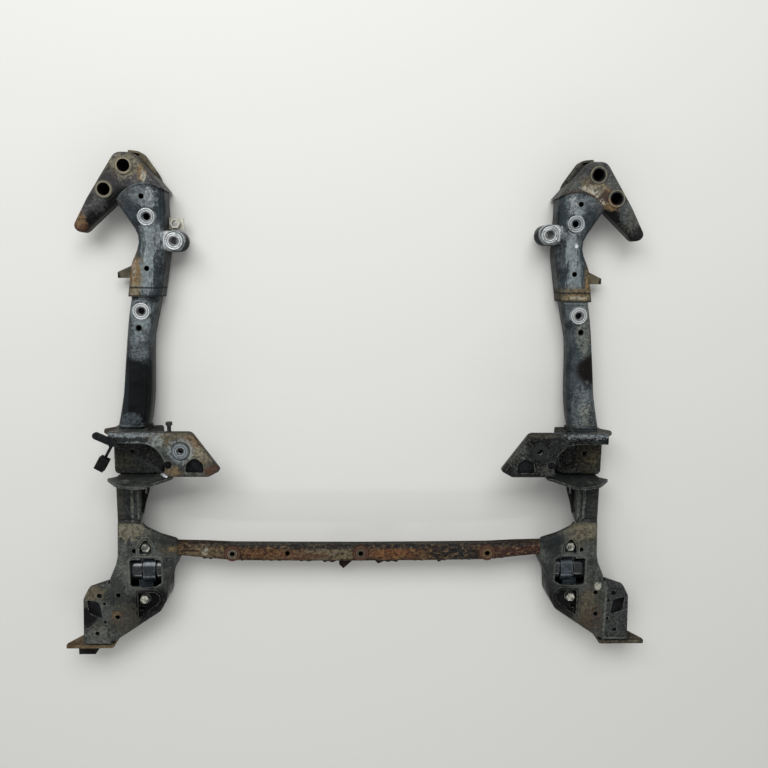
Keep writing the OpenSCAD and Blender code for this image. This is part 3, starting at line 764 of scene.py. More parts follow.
@dataclass
class Horn(Assembly):
    """Hooked horn with two bores at the end of the arm."""

    bores: tuple[Plan, ...] = ((349, 793), (378.5, 759))
    bore_r: float = 9.0
    grooves: tuple[float, ...] = (11.9,)
    joint: Plan = (319, 721)
    joint_r: float = 47.3
    joint_span: Band = (22, 118)
    joint_chords: int = 24
    weld_r: float = 1.9
    seam: tuple[Plan, ...] = ((337, 812.3), (332, 809), (328.4, 803.5), (323.4, 799.5), (320, 794.5),
                              (316, 789.8), (311.7, 785.1))
    mud_r: float = 3.0
    mud_level: float = 17
    mud: Piece | None = None
    # Black band along the hook's lower edge, kept glossy: painted shade of the lower flank.
    lower_shade_run: tuple[Plan, ...] = ((404, 704), (390, 714), (377, 725), (364, 736), (352, 747))
    lower_shade_reach: Spot = (22, 19, 60)
    left_patches: Patches = (
        Patch((349, 793, 54), (30, 20, 40), Tone.KHAKI, 0.72, 0.9, 150),
        Patch((324, 783, 54), (8, 15, 14), Tone.TAN, 0.75, 0.8, 150),
        Patch((321, 779, 54), (4, 9, 14), Tone.PALE, 0.7, 0.9, 170),
        Patch((421, 706, 46), (18, 21, 40), Tone.RUST, 0.95, 0.5, mixed=0.4),
        Patch((418, 716, 54), (13, 13, 14), Tone.TAN, 0.6, 1.0, 170),
        Patch((372, 778, 54), (16, 14, 12), Tone.HORN_DARK, 0.6, 0.8),
        Patch((388, 738, 54), (12, 16, 12), Tone.GREY, 0.45, 1.2, 220),
    )
    right_patches: Patches = (
        Patch((347, 770, 54), (21, 15, 20), Tone.TAN, 0.85, 0.8, 120),
        Patch((336, 781, 54), (14, 10, 20), Tone.DUST, 0.8, 0.8, 120),
        Patch((340, 766, 54), (18, 11, 14), Tone.PALE, 0.75, 1.3, 220),
        Patch((349, 776, 54), (17, 9, 14), Tone.KHAKI, 0.6, 1.0, 170),
        Patch((362, 756, 54), (14, 14, 14), Tone.BROWN, 0.85, 0.6, 120),
        Patch((370, 748, 54), (15, 8, 14), Tone.TAN, 0.7, 0.9, 170),
        Patch((420, 705, 50), (19, 19, 30), Tone.BLACK, 0.85, 0.8),
        Patch((401, 727, 54), (15, 20, 12), Tone.GREY_LIGHT, 0.3, 1.5, 330),
        Patch((392, 742, 54), (8, 22, 12), Tone.SLATE, 0.3, 0.9, 150),
        Patch((351, 753, 54), (12, 5, 9), Tone.PALE, 0.6, 1.3, 260),
    )
    left_ring: Patch = Patch((378, 759, 56), (16, 16, 9), Tone.GREY_DARK, 0.25, 0.5)
    right_ring: Patch = Patch((371, 751, 56), (12, 11, 9), Tone.ORANGE, 0.5, 0.8)

    def build(self) -> None:
        """Make the weld round the arm's head and the mud in the seam of the two halves."""
        round_head = arc(self.joint, self.joint_r, *self.joint_span, self.joint_chords)
        self.bead("horn_weld", round_head, "arm_front", "horn_front", radius=self.weld_r)
        self.mud = self.bead("horn_mud", self.seam, radius=self.mud_r, ripple=0.05, level=self.mud_level)

    def surface_patches(self) -> Patches:
        """Give the dirt and rust on the horn's front, and the painted shade along the hook's lower edge.

        Returns:
            Right-hand patches.
        """
        # Painted shade along the hook's lower edge.
        lower_shade = tuple(Patch((x, y, 34), self.lower_shade_reach, Tone.BLACK, 0.97, 0.15, rough=0.3, mixed=0.0)
                    for x, y in self.lower_shade_run)
        return lower_shade + self.pick(self.left_patches, self.right_patches)

    def dress(self) -> None:
        """Paint the horn, its back plate, its sleeves and the weld."""
        skin = self.pick((Tone.HORN, Tone.HORN_DARK), (Tone.GREY, Tone.HORN_DARK))
        self.coat("horn_front", "horn_paint", *skin, patches=self.surface_patches(), rough=0.4, flank=0.6, grime=0.4)
        dust = self.pick((Tone.DUST, Tone.OLIVE, Tone.KHAKI), (Tone.OLIVE, Tone.GREY_DARK, Tone.KHAKI))
        self.coat("horn_back", "horn_back_dust", *dust, 0.7, wear=0.9, flank=0.1, grime=0.2)
        steel = self.pick((Tone.KHAKI, Tone.OLIVE), (Tone.GREY_DARK, Tone.KHAKI))
        stain = self.pick(self.left_ring, self.right_ring)
        rings = self.rings("horn_rings", self.bores, self.bore_r, self.grooves, *steel, rough=0.6, metal=0.1,
                           patches=(stain,))
        self.wear("horn_sleeves", rings)
        weld = self.pick((Tone.SLATE, Tone.HORN_DARK), (Tone.BROWN, Tone.GREY_DARK))
        self.wear_pieces(self.finish("horn_weld_paint", *weld, flank=0.3), "blue_grey_paint")
        paint(self.mud, self.finish("horn_dirt", *dust, 0.9, flank=0.0, grime=0.0).material())


@dataclass
class Arm(Assembly):
    """Curved arm with its lug, its bolt sleeves and its small tab."""

    ring_a: Plan = (319, 721)
    ring_c: Plan = (333, 582.6)
    lug_x: float = 280
    lug_y: float = 704.5
    left_lug_drop: float = 18
    lug_root_x: float = 298.5
    lug_half: float = 13.5
    lug_weld_r: float = 1.9
    end_y: float = 604
    end_span: Band = (309.5, 350.5)
    end_weld_drop: float = 1.5
    end_weld_r: float = 2.6
    end_line_gaps: Band = (1.0, 13.5)
    sleeve_r: float = 12.5
    bore_r: float = 6.25
    grooves: tuple[float, ...] = (7.3, 10.0)
    ring_gap: float = 0.9
    ring_weld_r: float = 1.1
    thread_r: float = 5.9
    thread_half: float = 0.85
    threads: list[Piece] = field(default_factory=list)
    both_patches: Patches = (
        # Painted sheen along the arm's centre.
        Patch((316, 684, 56), (10, 58, 9), Tone.SLATE_LIGHT, 0.6, 1.1, 150, mixed=0.4, streak=90),
        # Painted shade on the arm's flanks (this patch and the next).
        Patch((335, 668, 50), (9, 30, 20), Tone.SLATE_SHADE, 0.8, 0.6),
        Patch((300, 735, 50), (8, 26, 24), Tone.SLATE_SHADE, 0.85, 0.5),
        Patch((313, 706, 56), (13, 4, 9), Tone.STEEL_GREY, 0.5, 1.2, 220),
        Patch((345, 744, 52), (17, 17, 16), Tone.HORN, 0.7, 0.7, 110),
        # Painted glints on the arm's head (this patch and the next).
        Patch((318, 738, 56), (13, 5, 9), Tone.STEEL_GREY, 0.55, 1.5, 300),
        Patch((314, 752, 56), (6, 10, 9), Tone.STEEL, 0.4, 1.6, 320),
        # Painted sheen on the arm's head.
        Patch((323, 748, 56), (20, 15, 9), Tone.SLATE_LIGHT, 0.3, 1.2, 150, mixed=0.4),
        # Painted shade on the arm's flanks (this patch and the next).
        Patch((340, 728, 50), (12, 22, 20), Tone.SLATE_SHADE, 0.7, 0.6),
        Patch((308, 628, 54), (10, 30, 12), Tone.SLATE_SHADE, 0.6, 0.8),
        # Painted sheen along the arm's centre.
        Patch((323, 640, 56), (11, 34, 9), Tone.SLATE_LIGHT, 0.5, 1.1, 150, mixed=0.4, streak=90),
    )
    left_patches: Patches = (
        Patch((346, 642, 46), (13, 38, 30), Tone.RUST, 0.95, 0.6, 110, mixed=0.3, streak=95),
        Patch((340, 636, 54), (11, 40, 14), Tone.TAN, 0.8, 0.8, 110, mixed=0.3, streak=95),
        Patch((344, 655, 50), (6, 24, 14), Tone.ORANGE, 0.6, 1.1, 170, streak=95),
        Patch((341, 650, 54), (5, 22, 12), Tone.PALE, 0.4, 1.3, 240, streak=95),
        Patch((344, 614, 48), (15, 14, 24), Tone.KHAKI, 0.6, 0.8),
        Patch((302, 692, 54), (6, 20, 10), Tone.STEEL_GREY, 0.55, 0.9),
    )
    right_patches: Patches = (
        Patch((333, 613, 40), (60, 15, 60), Tone.DUST, 0.92, 0.4, 120),
        Patch((334, 612, 54), (28, 11, 24), Tone.TAN, 0.8, 0.9, 150),
        Patch((330, 610, 54), (22, 3, 24), Tone.PALE, 0.5, 1.1, 200, streak=5.0),
        Patch((348, 636, 44), (13, 36, 30), Tone.DUST, 0.9, 0.6, 110, streak=95),
        Patch((346, 640, 50), (8, 30, 14), Tone.TAN, 0.8, 0.9, 130, streak=95),
        Patch((322, 688, 54), (3.2, 3.2, 4), Tone.STEEL, 1.0, 0.1, mixed=0.0),
    )
    rims: Patches = (
        Patch((319, 721, 54), (15, 15, 12), Tone.STEEL_GREY, 0.6, 0.4),
        Patch((333, 582.6, 50), (15, 15, 12), Tone.STEEL, 0.8, 0.2),
    )
    tab_shade: Patch = Patch((373, 634, 22), (5, 7, 12), Tone.BLACK, 0.9, 0.3)

    @property
    def lug(self) -> Plan:
        """Give the axis of this side's lug, which sits lower on the left."""
        return self.lug_x, self.lug_y - self.pick(self.left_lug_drop, 0.0)

    def build(self) -> None:
        """Make the welds at the arm's end, at the lug and round the sleeves, and the sleeves' threads."""
        end = [(x, self.end_y - self.end_weld_drop) for x in self.end_span]
        self.bead("arm_weld", end, "tube", "arm_front", radius=self.end_weld_r)
        root = [(self.lug_root_x, self.lug[1] + away) for away in (self.lug_half, -self.lug_half)]
        self.bead("lug_weld", root, "lug", "arm_front", radius=self.lug_weld_r)
        sleeves = Ground((self.side.node("sleeves"),))
        axes = (self.ring_a, self.lug, self.ring_c)
        for word, axis, node in zip("abc", axes, ("arm_front", "lug", "tube")):
            circle = arc(axis, self.sleeve_r + self.ring_gap)
            self.bead(f"ring_weld_{word}", circle, node, radius=self.ring_weld_r, **RING_WELD)
            face = (self.side.x(axis[0]), axis[1] + (self.thread_r + self.sleeve_r) / 2)
            top = sleeves.find(face)[0].z / MM
            self.threads.append(self.thread(f"thread_{word}", axis, self.thread_r, top, self.thread_half))

    def surface_patches(self) -> Patches:
        """Give the bare places, the rust and the dirt on the arm, with painted sheen and glints and painted
        shade on its flanks and lug.

        Returns:
            Right-hand patches.
        """
        lug_y = self.lug[1]
        lug = (
            # Bare worn steel on the lug's face, brightened as a painted highlight.
            Patch((276, lug_y + 2, 54), (26, 21, 12), Tone.STEEL, 0.95, 0.3, 140.0, 0.3, 0.3),
            # Painted shade on the lug's lower side.
            Patch((264, lug_y - 8, 36), (16, 16, 16), Tone.SLATE_DARK, 0.9, 0.3),
        )
        lines = tuple(Patch((330, self.end_y + gap, 40), (60, 1.6, 60), Tone.COAL, 0.85, 0.25, mixed=0.0)
                      for gap in self.end_line_gaps)
        return self.both_patches + lug + self.pick(self.left_patches, self.right_patches) + lines

    def dress(self) -> None:
        """Paint the arm, the lug, the sleeves, the tab and the welds."""
        self.coat("arm_front arm_back lug", "arm_paint", Tone.SLATE, Tone.SLATE_DARK, patches=self.surface_patches(),
                  rough=0.42, scuff=0.6, flank=0.55, turn=88.0)
        axes = (self.ring_a, self.lug, self.ring_c)
        rings = self.rings("bare_rings", axes, self.bore_r, self.grooves, Tone.STEEL, Tone.GREY_DARK,
                           patches=self.rims, cut=0.7)
        self.wear("sleeves", rings)
        self.coat("arm_tab", "tab_paint", Tone.DUST, Tone.OLIVE, patches=(self.tab_shade,), flank=0.3)
        weld = self.finish("arm_weld_paint", Tone.SLATE_LIGHT, Tone.SLATE_DARK, flank=0.3)
        self.wear_pieces(weld, "blue_grey_paint")
        bare = (Tone.STEEL_GREY, Tone.GREY, Tone.STEEL)
        self.wear_pieces(self.finish("thread_steel", *bare, **BARE_THREAD), "bare_steel", self.threads)


@dataclass
class SideTube(Assembly):
    """Tube between the arm and the bracket."""

    end_y: float = 401
    weld_gap: float = 4.5
    weld_span: Band = (336, 375)
    weld_r: float = 2.6
    left_patches: Patches = (
        # Painted sheen along the tube's centre (this patch and the next).
        Patch((336, 575, 49), (17, 34, 9), Tone.SLATE_LIGHT, 0.5, 0.9, 120, mixed=0.4),
        Patch((341, 525, 49), (10, 34, 9), Tone.STEEL_GREY, 0.22, 1.1, 140),
        Patch((348, 446, 40), (70, 86, 90), Tone.BLACK, 0.95, 0.3, 75, 0.3, 0.1),
        # Painted shade on the tube's outer flank.
        Patch((364, 462, 44), (8, 60, 24), Tone.SLATE_DARK, 0.8, 0.8, 110, streak=90),
        Patch((360, 416, 48), (24, 13, 14), Tone.SLATE, 0.75, 1.0, 160),
        # Painted sheen along the tube's centre.
        Patch((341, 518, 49), (14, 9, 9), Tone.SLATE_LIGHT, 0.3, 1.4, 300),
        # Black disc at the tube's hole: painted shade of its inside.
        Patch((337.6, 557, 48), (5.6, 5.6, 12), Tone.BLACK, 1.0, 0.0, mixed=0.0),
    )
    right_patches: Patches = (
        # Painted shade on the tube's inner flank.
        Patch((332, 500, 46), (12, 70, 20), Tone.SLATE_SHADE, 0.6, 0.7, 110, streak=90),
        # Painted sheen along the tube's centre.
        Patch((345, 562, 49), (17, 48, 9), Tone.GREY_LIGHT, 0.6, 1.0, 150),
        Patch((360, 556, 40), (7, 26, 24), Tone.BROWN, 0.6, 0.8, streak=90),
        Patch((362, 499, 42), (30, 26, 40), Tone.UMBER, 1.0, 0.08, 70, mixed=0.0),
        Patch((363, 499, 42), (31, 26, 40), Tone.BLACK, 0.8, 0.08, 110, mixed=0.0),
        # Black disc at the tube's hole: painted shade of its inside.
        Patch((337.6, 557, 48), (5.6, 5.6, 12), Tone.BLACK, 1.0, 0.0, mixed=0.0),
        # Painted sheen along the tube's centre.
        Patch((346, 438, 49), (16, 40, 8), Tone.SLATE_LIGHT, 0.25, 1.2, 180),
        Patch((352, 430, 49), (10, 20, 8), Tone.PALE, 0.28, 1.4, 280),
        Patch((346, 412, 49), (22, 7, 9), Tone.GREY_LIGHT, 0.4, 1.0, 160),
    )

    def build(self) -> None:
        """Make the weld where the tube meets the bracket."""
        path = [(x, self.end_y + self.weld_gap) for x in self.weld_span]
        self.bead("tube_weld", path, "tube", radius=self.weld_r)

    def dress(self) -> None:
        """Paint the tube, with its oil, painted sheen along its centre, painted shade on its flanks and in
        its hole, scratches, and its weld.
        """
        surface_patches = self.pick(self.left_patches, self.right_patches)
        self.coat("tube", "tube_paint", Tone.SLATE, Tone.SLATE_DARK, patches=surface_patches, rough=0.42, scuff=0.6,
                  flank=0.5, turn=85.0)
        self.wear_pieces(self.finish("tube_weld_paint", Tone.SLATE, Tone.COAL, flank=0.3), "dark_steel")


@dataclass
class ArmBracket(Assembly):
    """Bracket for the control arm: two flanges, a saddle and the gusset web."""

    collar: Plan = (272, 376.5)
    collar_top: float = 89.5
    collar_weld_r: float = 13.5
    weld_r: float = 1.2
    bore_r: float = 5.5
    grooves: tuple[float, ...] = (8.4, 11.4)
    thread_r: float = 5.1
    thread_half: float = 0.75
    coil: Piece | None = None
    plug_half: float = 5
    plug_r: float = 5.2
    plug_level: float = 66
    notch: tuple[Plan, ...] = ((284, 355), (298, 355))
    notch_r: float = 9.0
    # Dark fills under the notch and in the collar: painted shade where the floor would show through.
    mud_level: float = 82.8
    fill_flat: float = 0.3
    mud: list[Piece] = field(default_factory=list)
    left_patches: Patches = (
        Patch((280, 395, 86), (50, 14, 14), Tone.DUST, 0.85, 0.7, 130),
        Patch((245, 373, 88), (27, 26, 14), Tone.DUST, 0.85, 0.7, 130),
        Patch((242, 380, 88), (27, 22, 14), Tone.KHAKI, 0.85, 0.9, 170),
        Patch((254, 390, 88), (20, 11, 12), Tone.ORANGE, 0.5, 1.0, 150),
        Patch((272, 376.5, 88), (21, 21, 9), Tone.SLATE_LIGHT, 0.65, 0.35, 120),
        Patch((222, 346, 88), (19, 10, 16), Tone.RUST, 0.9, 0.6, 120),
        Patch((284, 344, 88), (15, 9, 12), Tone.TAN, 0.65, 0.8, 140),
        Patch((345, 395, 86), (38, 7, 12), Tone.COAL, 0.85, 0.7),
        # Worn scratches along the top edge, brightened with painted glints (this patch and the next).
        Patch((340, 401, 87), (44, 4, 10), Tone.STEEL_GREY, 0.65, 1.4, 260),
        Patch((338, 386, 88), (26, 5, 10), Tone.STEEL_GREY, 0.5, 1.3, 260),
        Patch((306, 391, 88), (12, 11, 12), Tone.SLATE_LIGHT, 0.5, 0.9, 140),
    )
    right_patches: Patches = (
        # Worn scratches along the top edge, brightened with painted glints.
        Patch((345, 401, 86), (40, 4.5, 12), Tone.STEEL_GREY, 0.6, 1.5, 260),
        Patch((272, 402, 86), (34, 5, 14), Tone.OLIVE, 0.75, 0.8, 140),
        Patch((234, 380, 86), (20, 26, 14), Tone.GREY_LIGHT, 0.25, 1.6, 420),
        Patch((285, 348, 88), (18, 10, 10), Tone.GREY_LIGHT, 0.2, 1.5, 320),
        Patch((300, 384, 88), (14, 16, 10), Tone.GREY_DARK, 0.6, 1.0, 140),
    )
    left_saddle: Patches = (
        Patch((348, 336, 25), (52, 20, 30), Tone.GREY, 0.75, 0.7, 140),
        Patch((372, 346, 25), (16, 18, 40), Tone.OLIVE, 0.6, 0.8, 130),
    )
    right_saddle: Patches = (
        Patch((370, 352, 24), (22, 32, 40), Tone.OLIVE, 0.85, 0.6, 130),
        Patch((377, 352, 24), (13, 12, 16), Tone.DUST, 0.5, 0.8, 130),
    )
    end_rust: Patch = Patch((389, 399, 60), (13, 9, 40), Tone.BROWN, 0.9, 0.6, 130.0)
    right_end_rust: float = 0.2

    def build(self) -> None:
        """Make the weld and the thread of the nut collar, and the dark fills in it and under the notch that
        paint the shade inside them.
        """
        circle = arc(self.collar, self.collar_weld_r)
        self.bead("collar_weld", circle, "gusset", radius=self.weld_r, **RING_WELD)
        notch = self.bead("notch_shade_fill", self.notch, radius=self.notch_r, flat=self.fill_flat,
                          level=self.mud_level)
        across = [(self.collar[0] + away, self.collar[1]) for away in (-self.plug_half, self.plug_half)]
        plug = self.bead("collar_shade_fill", across, radius=self.plug_r, ripple=0.0, flat=self.fill_flat,
                         level=self.plug_level)
        self.mud = [notch, plug]
        self.coil = self.thread("collar_thread", self.collar, self.thread_r, self.collar_top,
                                self.thread_half)

    def dress(self) -> None:
        """Paint the bracket's pieces."""
        tones = self.pick((Tone.GREY, Tone.GREY_DARK), (Tone.COAL, Tone.BLACK))
        self.coat("gusset", "gusset_paint", *tones, patches=self.pick(self.left_patches, self.right_patches),
                  rough=self.pick(0.4, 0.3), wear=0.9, scuff=0.5, speck=self.pick(0.55, 0.35), turn=20.0)
        rust = self.pick(self.end_rust, replace(self.end_rust, strength=self.right_end_rust))
        ear = self.pick((Tone.GREY, Tone.GREY_DARK), (Tone.GREY_DARK, Tone.COAL))
        self.coat("top_flange ear_flange", "flange_paint", *ear, rough=0.42, wear=0.9, scuff=0.7, flank=0.3,
                  turn=10.0, patches=(rust,))
        mud = self.pick(self.left_saddle, self.right_saddle)
        self.coat("saddle", "saddle_dirt", Tone.GREY_DARK, Tone.BLACK, rough=0.55, speck=0.7, grime=0.45,
                  patches=mud)
        face = self.pick(Tone.STEEL_GREY, Tone.GREY_DARK)
        ring = self.rings("collar_ring", (self.collar,), self.bore_r, self.grooves, face, Tone.COAL,
                          rough=0.45, metal=0.4)
        self.wear("gusset_collar", ring)
        self.coat("gusset_block", "block_rubber", Tone.COAL, Tone.BLACK, Tone.GREY_DARK, 0.7)
        weld = self.pick((Tone.GREY, Tone.COAL), (Tone.GREY_DARK, Tone.BLACK))
        self.wear_pieces(self.finish("collar_weld_paint", *weld, flank=0.3), "worn_grey_paint")
        # Painted shade: the fills under the notch and in the collar's bore are painted black.
        shade_fill = self.finish("notch_shade", *SHADE_FILL_TONES).material()
        for piece in self.mud:
            paint(piece, shade_fill)
        bare = self.pick((Tone.STEEL_GREY, Tone.GREY, Tone.STEEL), (Tone.GREY, Tone.COAL, Tone.STEEL_GREY))
        self.wear_pieces(self.finish("collar_steel", *bare, **BARE_THREAD), "bare_steel", [self.coil])


@dataclass
class Rail(Assembly):
    """Rail between the bracket and the corner box."""

    start_y: float = 250
    end_y: float = 318
    level: float = 50
    weld_drop: float = 2.5
    weld_span: Band = (352, 380)
    weld_r: float = 2.2
    joint_span: Band = (347, 380)
    joint_r: float = 7.0
    joint_flat: float = 0.46
    joint_rise: float = 0.6
    surface_patches: Patches = (
        Patch((358, 285, 52), (3, 44, 8), Tone.GREY_LIGHT, 0.6, 0.9, 130, streak=90),
        Patch((349, 285, 46), (3, 44, 16), Tone.GREY_LIGHT, 0.45, 0.9, 130, streak=90),
    )
    outer_dirt: Patch = Patch((376, 284, 46), (6, 44, 16), Tone.OLIVE, 0.5, 0.9, streak=90.0)
    right_outer_dirt: float = 0.2
    back_dust: Patch = Patch((350, 290, 4), (16, 40, 8), Tone.GREY, 0.5, 0.8)
    joint_dirt: Patch = Patch((366, 246, 52), (24, 7, 16), Tone.DUST, 0.85, 0.6, 120.0)

    def build(self) -> None:
        """Make the weld on the bracket's flange and the smooth joint with the corner box."""
        weld = [(x, self.end_y - self.weld_drop) for x in self.weld_span]
        self.bead("ear_weld", weld, "rail_front", radius=self.weld_r)
        joint = [(x, self.start_y) for x in self.joint_span]
        self.bead("rail_joint", joint, radius=self.joint_r, ripple=0.0, flat=self.joint_flat,
                  level=self.level + self.joint_rise)

    def dress(self) -> None:
        """Paint the rail and its welds."""
        outer = self.pick(self.outer_dirt, replace(self.outer_dirt, strength=self.right_outer_dirt))
        self.coat("rail_front rail_back", "rail_paint", Tone.GREY_DARK, Tone.COAL, rough=0.34, turn=90.0,
                  wear=0.7, speck=0.35, patches=(*self.surface_patches, outer, self.back_dust))
        joint = self.finish("rail_joint_paint", Tone.GREY_DARK, Tone.COAL, flank=0.2, grime=0.1,
                            patches=(self.joint_dirt,))
        self.wear_pieces(joint, "dark_steel")


@dataclass
class CornerBox(Assembly):
    """Corner box with its outer box and base plate."""

    rim: tuple[Plan, ...] = ((314, 152), (314, 191), (322, 196.5), (360, 196.5), (367, 190), (367, 148),
                             (360, 143.5), (328, 143.5), (314, 152))
    arch: tuple[Plan, ...] = ((353.5, 197.5), (353.5, 213), (344.5, 228), (334.5, 228), (325.5, 213),
                              (325.5, 197.5))
    hollow: tuple[Plan, ...] = ((358.5, 86), (358.5, 141), (326, 141), (315, 132), (315, 118), (326, 106),
                                (358.5, 86))
    rib_r: float = 1.2
    joint_x: float = 399
    joint_span: Band = (53, 152)
    joint_r: float = 7.0
    joint_flat: float = 0.3
    face: float = 54
    joint_drop: float = 0.4
    joint: Piece | None = None
    # Dark sheet inside the outer box: painted shade seen through its holes and eye.
    shade_sheet_x: float = 417
    shade_sheet_span: Band = (58, 138)
    mud_r: float = 17.0
    fill_flat: float = 0.09
    mud_level: float = 51.9
    mud: Piece | None = None
    both_patches: Patches = (
        Patch((364, 239, 54), (27, 17, 20), Tone.KHAKI, 0.65, 1.0, 150),
        Patch((345, 76, 50), (44, 18, 24), Tone.OLIVE, 0.7, 0.7),
        Patch((340, 212, 48), (12, 15, 9), Tone.KHAKI, 0.6, 0.7, 140),
    )
    left_patches: Patches = (
        Patch((330, 110, 40), (50, 41, 60), Tone.BLACK, 1.0, 0.12, 60, 0.2, 0.0),
        Patch((306, 165, 40), (14, 34, 40), Tone.COAL, 0.5, 0.8),
        Patch((302, 212, 52), (20, 18, 16), Tone.OLIVE, 0.8, 0.7, 120),
        Patch((296, 208, 54), (14, 5, 12), Tone.TAN, 0.6, 1.1, 180),
        Patch((298, 222, 52), (26, 8, 16), Tone.COAL, 0.7, 0.7),
        Patch((376, 92, 54), (24, 34, 12), Tone.OLIVE, 0.7, 0.8, 120),
        Patch((387, 95, 55), (12, 12, 9), Tone.BROWN, 0.6, 0.7, 160),
        Patch((389, 98, 56), (8, 8, 5), Tone.TAN, 0.4, 1.1, 200),
        Patch((372, 172, 54), (18, 40, 9), Tone.GREY_LIGHT, 0.2, 1.0, 150),
        Patch((385, 140, 54), (14, 30, 9), Tone.GREY_DARK, 0.7, 0.8),
    )
    right_patches: Patches = (
        Patch((332, 114, 42), (36, 36, 50), Tone.BLACK, 0.95, 0.2, 60, 0.22, 0.0),
        Patch((352, 232, 54), (26, 22, 12), Tone.DUST, 0.5, 0.9, 140),
        Patch((376, 104, 54), (26, 44, 12), Tone.OLIVE, 0.85, 0.8, 130),
        Patch((372, 110, 54), (12, 30, 12), Tone.DUST, 0.55, 1.0, 150),
        Patch((382, 78, 54), (26, 26, 12), Tone.BROWN, 0.5, 1.0, 150),
        Patch((387, 95, 55), (12, 12, 9), Tone.BROWN, 0.5, 0.7, 160),
        Patch((388, 143, 54), (6, 8, 8), Tone.PALE, 0.85, 0.6, 150),
        Patch((312, 178, 50), (15, 60, 34), Tone.COAL, 0.65, 0.8),
        Patch((310, 222, 54), (24, 15, 12), Tone.COAL, 0.85, 0.7),
    )
    left_box: Patches = (
        Patch((427, 138, 56), (24, 15, 14), Tone.DUST, 0.85, 0.6, 120),
        # Painted shade in the eye and the recess below it.
        Patch((433, 96, 56), (17, 19, 9), Tone.BLACK, 0.95, 0.2, mixed=0.1),
        Patch((415, 82, 57), (16, 10, 9), Tone.OLIVE, 0.6, 0.8),
        Patch((418, 66, 58), (22, 18, 9), Tone.GREY_LIGHT, 0.25, 1.2, 160),
    )
    right_box: Patches = (
        Patch((418, 96, 56), (24, 52, 9), Tone.GREY, 0.5, 1.0, 130),
        Patch((402, 100, 56), (2.4, 52, 9), Tone.GREY_LIGHT, 0.4, 0.8, 140, streak=90),
        Patch((421, 53, 57), (24, 2.4, 9), Tone.GREY_LIGHT, 0.4, 0.8, 140, streak=0.0),
    )

    def build(self) -> None:
        """Make the pressed ribs of the face, the smooth joint of the outer box and a dark sheet inside it
        that paints the shade under its holes.
        """
        for word, path in (("window", self.rim), ("arch", self.arch), ("pocket", self.hollow)):
            self.bead(f"{word}_rib", path, "corner_front", radius=self.rib_r, ripple=0.0)
        joint = [(self.joint_x, y) for y in self.joint_span]
        self.joint = self.bead("box_joint", joint, radius=self.joint_r, ripple=0.0, flat=self.joint_flat,
                               level=self.face - self.joint_drop)
        shade_fill = [(self.shade_sheet_x, y) for y in self.shade_sheet_span]
        self.mud = self.bead("box_shade_sheet", shade_fill, radius=self.mud_r, ripple=0.02, flat=self.fill_flat,
                             level=self.mud_level)

    def dress(self) -> None:
        """Paint the corner's shells, the box, the base plate and the ribs."""
        tones = (Tone.GREY, Tone.GREY_DARK)
        surface_patches = self.both_patches + self.pick(self.left_patches, self.right_patches)
        self.coat("corner_front corner_back", "corner_paint", *tones, patches=surface_patches, rough=0.42, wear=0.8,
                  grime=0.4)
        box_patches = self.pick(self.left_box, self.right_box)
        shell = self.pick(tones, (Tone.GREY_DARK, Tone.COAL))
        self.coat("outer_box", "box_paint", *shell, patches=box_patches, wear=0.9)
        rust = self.pick((Tone.DUST, Tone.BROWN, Tone.TAN), (Tone.OLIVE, Tone.UMBER, Tone.KHAKI))
        self.coat("base_plate", "plate_rust", *rust, 0.8, wear=0.9, flank=0.1, flake=0.3, grain=75.0,
                  depth=0.0014)
        rib = self.finish("rib_paint", Tone.RIB, Tone.GREY, flank=0.1, grime=0.2, patches=surface_patches)
        self.wear_pieces(rib, "worn_grey_paint")
        joint = self.finish("box_joint_paint", *tones, patches=surface_patches + box_patches, flank=0.1, grime=0.2)
        paint(self.joint, joint.material())
        # Painted shade: the sheet under the outer box's holes is painted black.
        paint(self.mud, self.finish("box_hole_shade", *SHADE_FILL_TONES).material())


@dataclass
class EngineMount(Assembly):
    """Rubber mount with its carrier inside the corner box."""

    def dress(self) -> None:
        """Give the mount its oily black and bare steel."""
        oily = {"grime": 0.3, "depth": 0.0003, "turn": 0.0}
        self.coat("mount_carrier", "mount_casting", Tone.MOUNT, Tone.SLATE_DARK, Tone.SLATE_LIGHT, 0.2,
                  metal=0.35, wear=0.4, scuff=0.4, speck=0.25, flank=0.3, gloss=0.6, **oily)
        self.coat("mount_rubber", "mount_rubber_skin", Tone.COAL, Tone.BLACK, Tone.STEEL_GREY, 0.16,
                  wear=0.6, scuff=0.3, speck=0.2, flank=0.2, gloss=0.7, **oily)
        self.coat("mount_core", "mount_core_steel", Tone.STEEL_GREY, Tone.GREY, Tone.STEEL, 0.3,
                  metal=0.8, grime=0.3)


